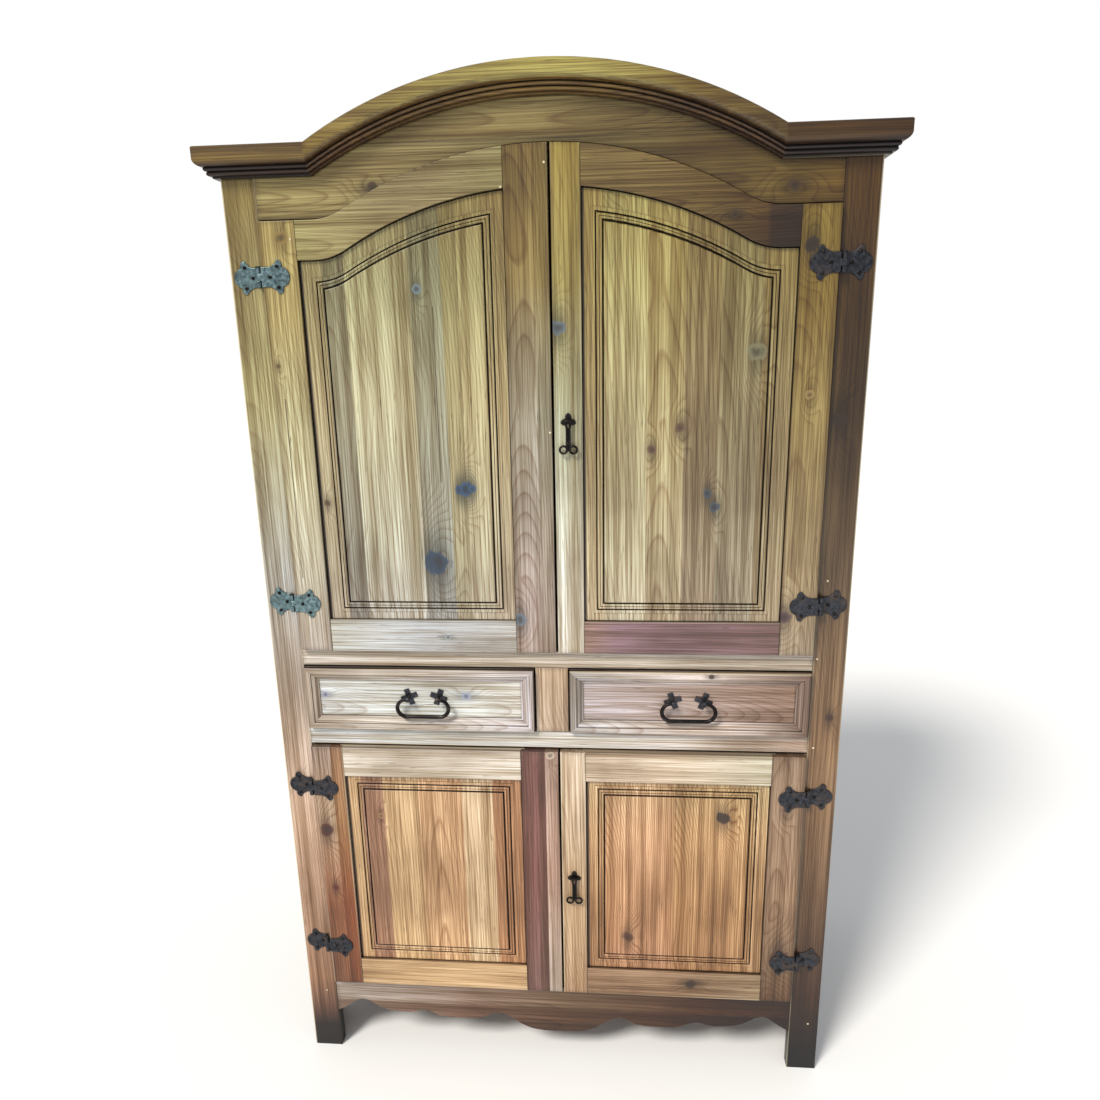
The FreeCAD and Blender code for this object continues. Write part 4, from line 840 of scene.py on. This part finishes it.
def place_hinges(node, body):
    """Forged leaves and nails for one CAD node."""
    parts = loose_parts(node)
    bluish = [p for p in parts if upper_left(middle(p))]
    greyish = [p for p in parts if p not in bluish]
    pieces = []
    for chosen, word, metal in ((bluish, "_blue_leaves", blue_iron), (greyish, "_grey_leaves", grey_iron)):
        if chosen:
            piece = forge(join(chosen, body + word), VOXEL, MARKS)
            piece.data.materials.clear()
            piece.data.materials.append(metal)
            pieces.append(piece)
    pieces.append(nails_at(nail_places(body), body + "_hinge_nails"))
    for piece in pieces:
        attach(piece, body)
        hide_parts(node)
    return pieces


place_hinges("frame_hinge_leaves", "case")
for level in ("upper", "lower"):
    for side in ("left", "right"):
        body = level + "_" + side + "_door"
        made = place_hinges(body + "_hinge_leaves", body)
        print(body, [(p.name, len(p.data.polygons)) for p in made])

# %% [markdown]
# ## Hinge pins
# A pin is a length of rod whose ends were hammered over into low mushrooms, so it can't fall out.

# %% Model one pin and copy it
deselect()
bpy.ops.mesh.primitive_cylinder_add(vertices=20, radius=0.0020, depth=0.036)
pin = bpy.context.object
for end in (1, -1):
    bpy.ops.object.mode_set(mode="OBJECT")
    for face in pin.data.polygons:
        face.select = face.normal.z * end > 0.9
    bpy.ops.object.mode_set(mode="EDIT")
    bpy.ops.mesh.select_mode(type="FACE")
    for grow, rise in ((1.62, 0.0002), (1.0, 0.0007), (0.72, 0.0005)):
        bpy.ops.mesh.extrude_region_move(TRANSFORM_OT_translate={"value": (0, 0, end * rise)})
        bpy.ops.transform.resize(value=(grow, grow, 1.0))
bpy.ops.object.mode_set(mode="OBJECT")
bpy.ops.object.shade_smooth_by_angle(angle=math.radians(40))
pin.data.materials.append(grey_iron)
pins = []
for part in loose_parts("hinge_pins"):
    copy = bpy.data.objects.new("pin", pin.data.copy())
    copy.data.transform(Matrix.Translation(middle(part)))
    bpy.context.scene.collection.objects.link(copy)
    pins.append(copy)
    bpy.data.objects.remove(part)
pins = join(pins, "peened_hinge_pins")
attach(pins, "case")
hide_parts("hinge_pins")
bpy.data.objects.remove(pin)
print("pins", len(pins.data.polygons), "faces")

# %% [markdown]
# ## Handles
# The drawer bails, the drop pulls and their plates were drawn out and bent hot, so no edge on them is sharp.
# They are forged from their own nodes with finer voxels, so that each ring and eye stays open.

# %% Forge the handles
FINE_VOXEL, FINE_MARKS = 0.00045, 0.0001
handles = {"left_drawer_bail": "left_bail", "right_drawer_bail": "right_bail",
           "left_drawer_pull_posts": "left_drawer", "right_drawer_pull_posts": "right_drawer",
           "upper_drop_pull": "upper_pull", "lower_drop_pull": "lower_pull",
           "upper_pull_plate": "upper_right_door", "lower_pull_plate": "lower_right_door"}
for node, body in handles.items():
    piece = forge(join(loose_parts(node), "forged_" + node), FINE_VOXEL, FINE_MARKS)
    piece.data.materials.clear()
    piece.data.materials.append(grey_iron if "posts" in node else black_iron)
    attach(piece, body)
    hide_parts(node)
    print(piece.name, len(piece.data.polygons), "faces")
bpy.data.objects.remove(nail_head)

# %% [markdown]
# ## Putty
# Old nail holes were stopped with a chalky putty.  The wood has darkened since and the putty hasn't, so each
# hole is now a pale dot.  One plug is a low disc with an eased rim; its copies sit where the holes are.

# %% Model one plug and copy it
putty = bpy.data.materials.new("chalk putty under wax")
putty.use_nodes = True
tree = putty.node_tree
chalk = add(tree, "TexNoise", {}, {"Scale": 700.0, "Detail": 2.0})
tone = add(tree, "ValToRGB", {"stops": [(0.35, "b5a888"), (0.65, "d2c7ab")]}, {"Fac": chalk})
tree.links.new(tone.outputs[0], tree.nodes["Principled BSDF"].inputs["Base Color"])
tree.nodes["Principled BSDF"].inputs["Roughness"].default_value = 0.65
deselect()
bpy.ops.mesh.primitive_cylinder_add(vertices=18, radius=0.0020, depth=0.0006)
plug = bpy.context.object
bpy.ops.object.mode_set(mode="EDIT")
bpy.ops.mesh.select_all(action="SELECT")
bpy.ops.transform.rotate(value=math.radians(90), orient_axis="X", center_override=(0, 0, 0))
bpy.ops.mesh.select_all(action="SELECT")
bpy.ops.mesh.bevel(offset=0.0002, segments=2, affect="EDGES")
bpy.ops.object.mode_set(mode="OBJECT")
bpy.ops.object.shade_smooth()
plug.data.materials.append(putty)
FACE_OFFSET = 263.5                               # the front of the frame stands this far before the middle
holes = {"case": [(530, 0, 1144), (520, 0, 985), (524, 0, 794), (-536, 0, 153), (553, 0, 121),
                  (467, 0, 1894)],
         "upper_left_door": [(-452, -14, 1781), (5, -14, 1892), (7, -14, 1432), (-71, -14, 1855)]}
for body, places in holes.items():
    plugs = []
    for number, (x, y, z) in enumerate(places):
        copy = bpy.data.objects.new("plug", plug.data.copy())
        size = Matrix.Diagonal((0.8 + number % 3 * 0.2, 1.0, 1.0, 1.0))
        copy.data.transform(Matrix.Translation((x / 1000, (y - FACE_OFFSET) / 1000, z / 1000)) @ size)
        bpy.context.scene.collection.objects.link(copy)
        plugs.append(copy)
    plugs = join(plugs, body + "_putty")
    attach(plugs, body)
    print(plugs.name, len(places), "plugs")
bpy.data.objects.remove(plug)
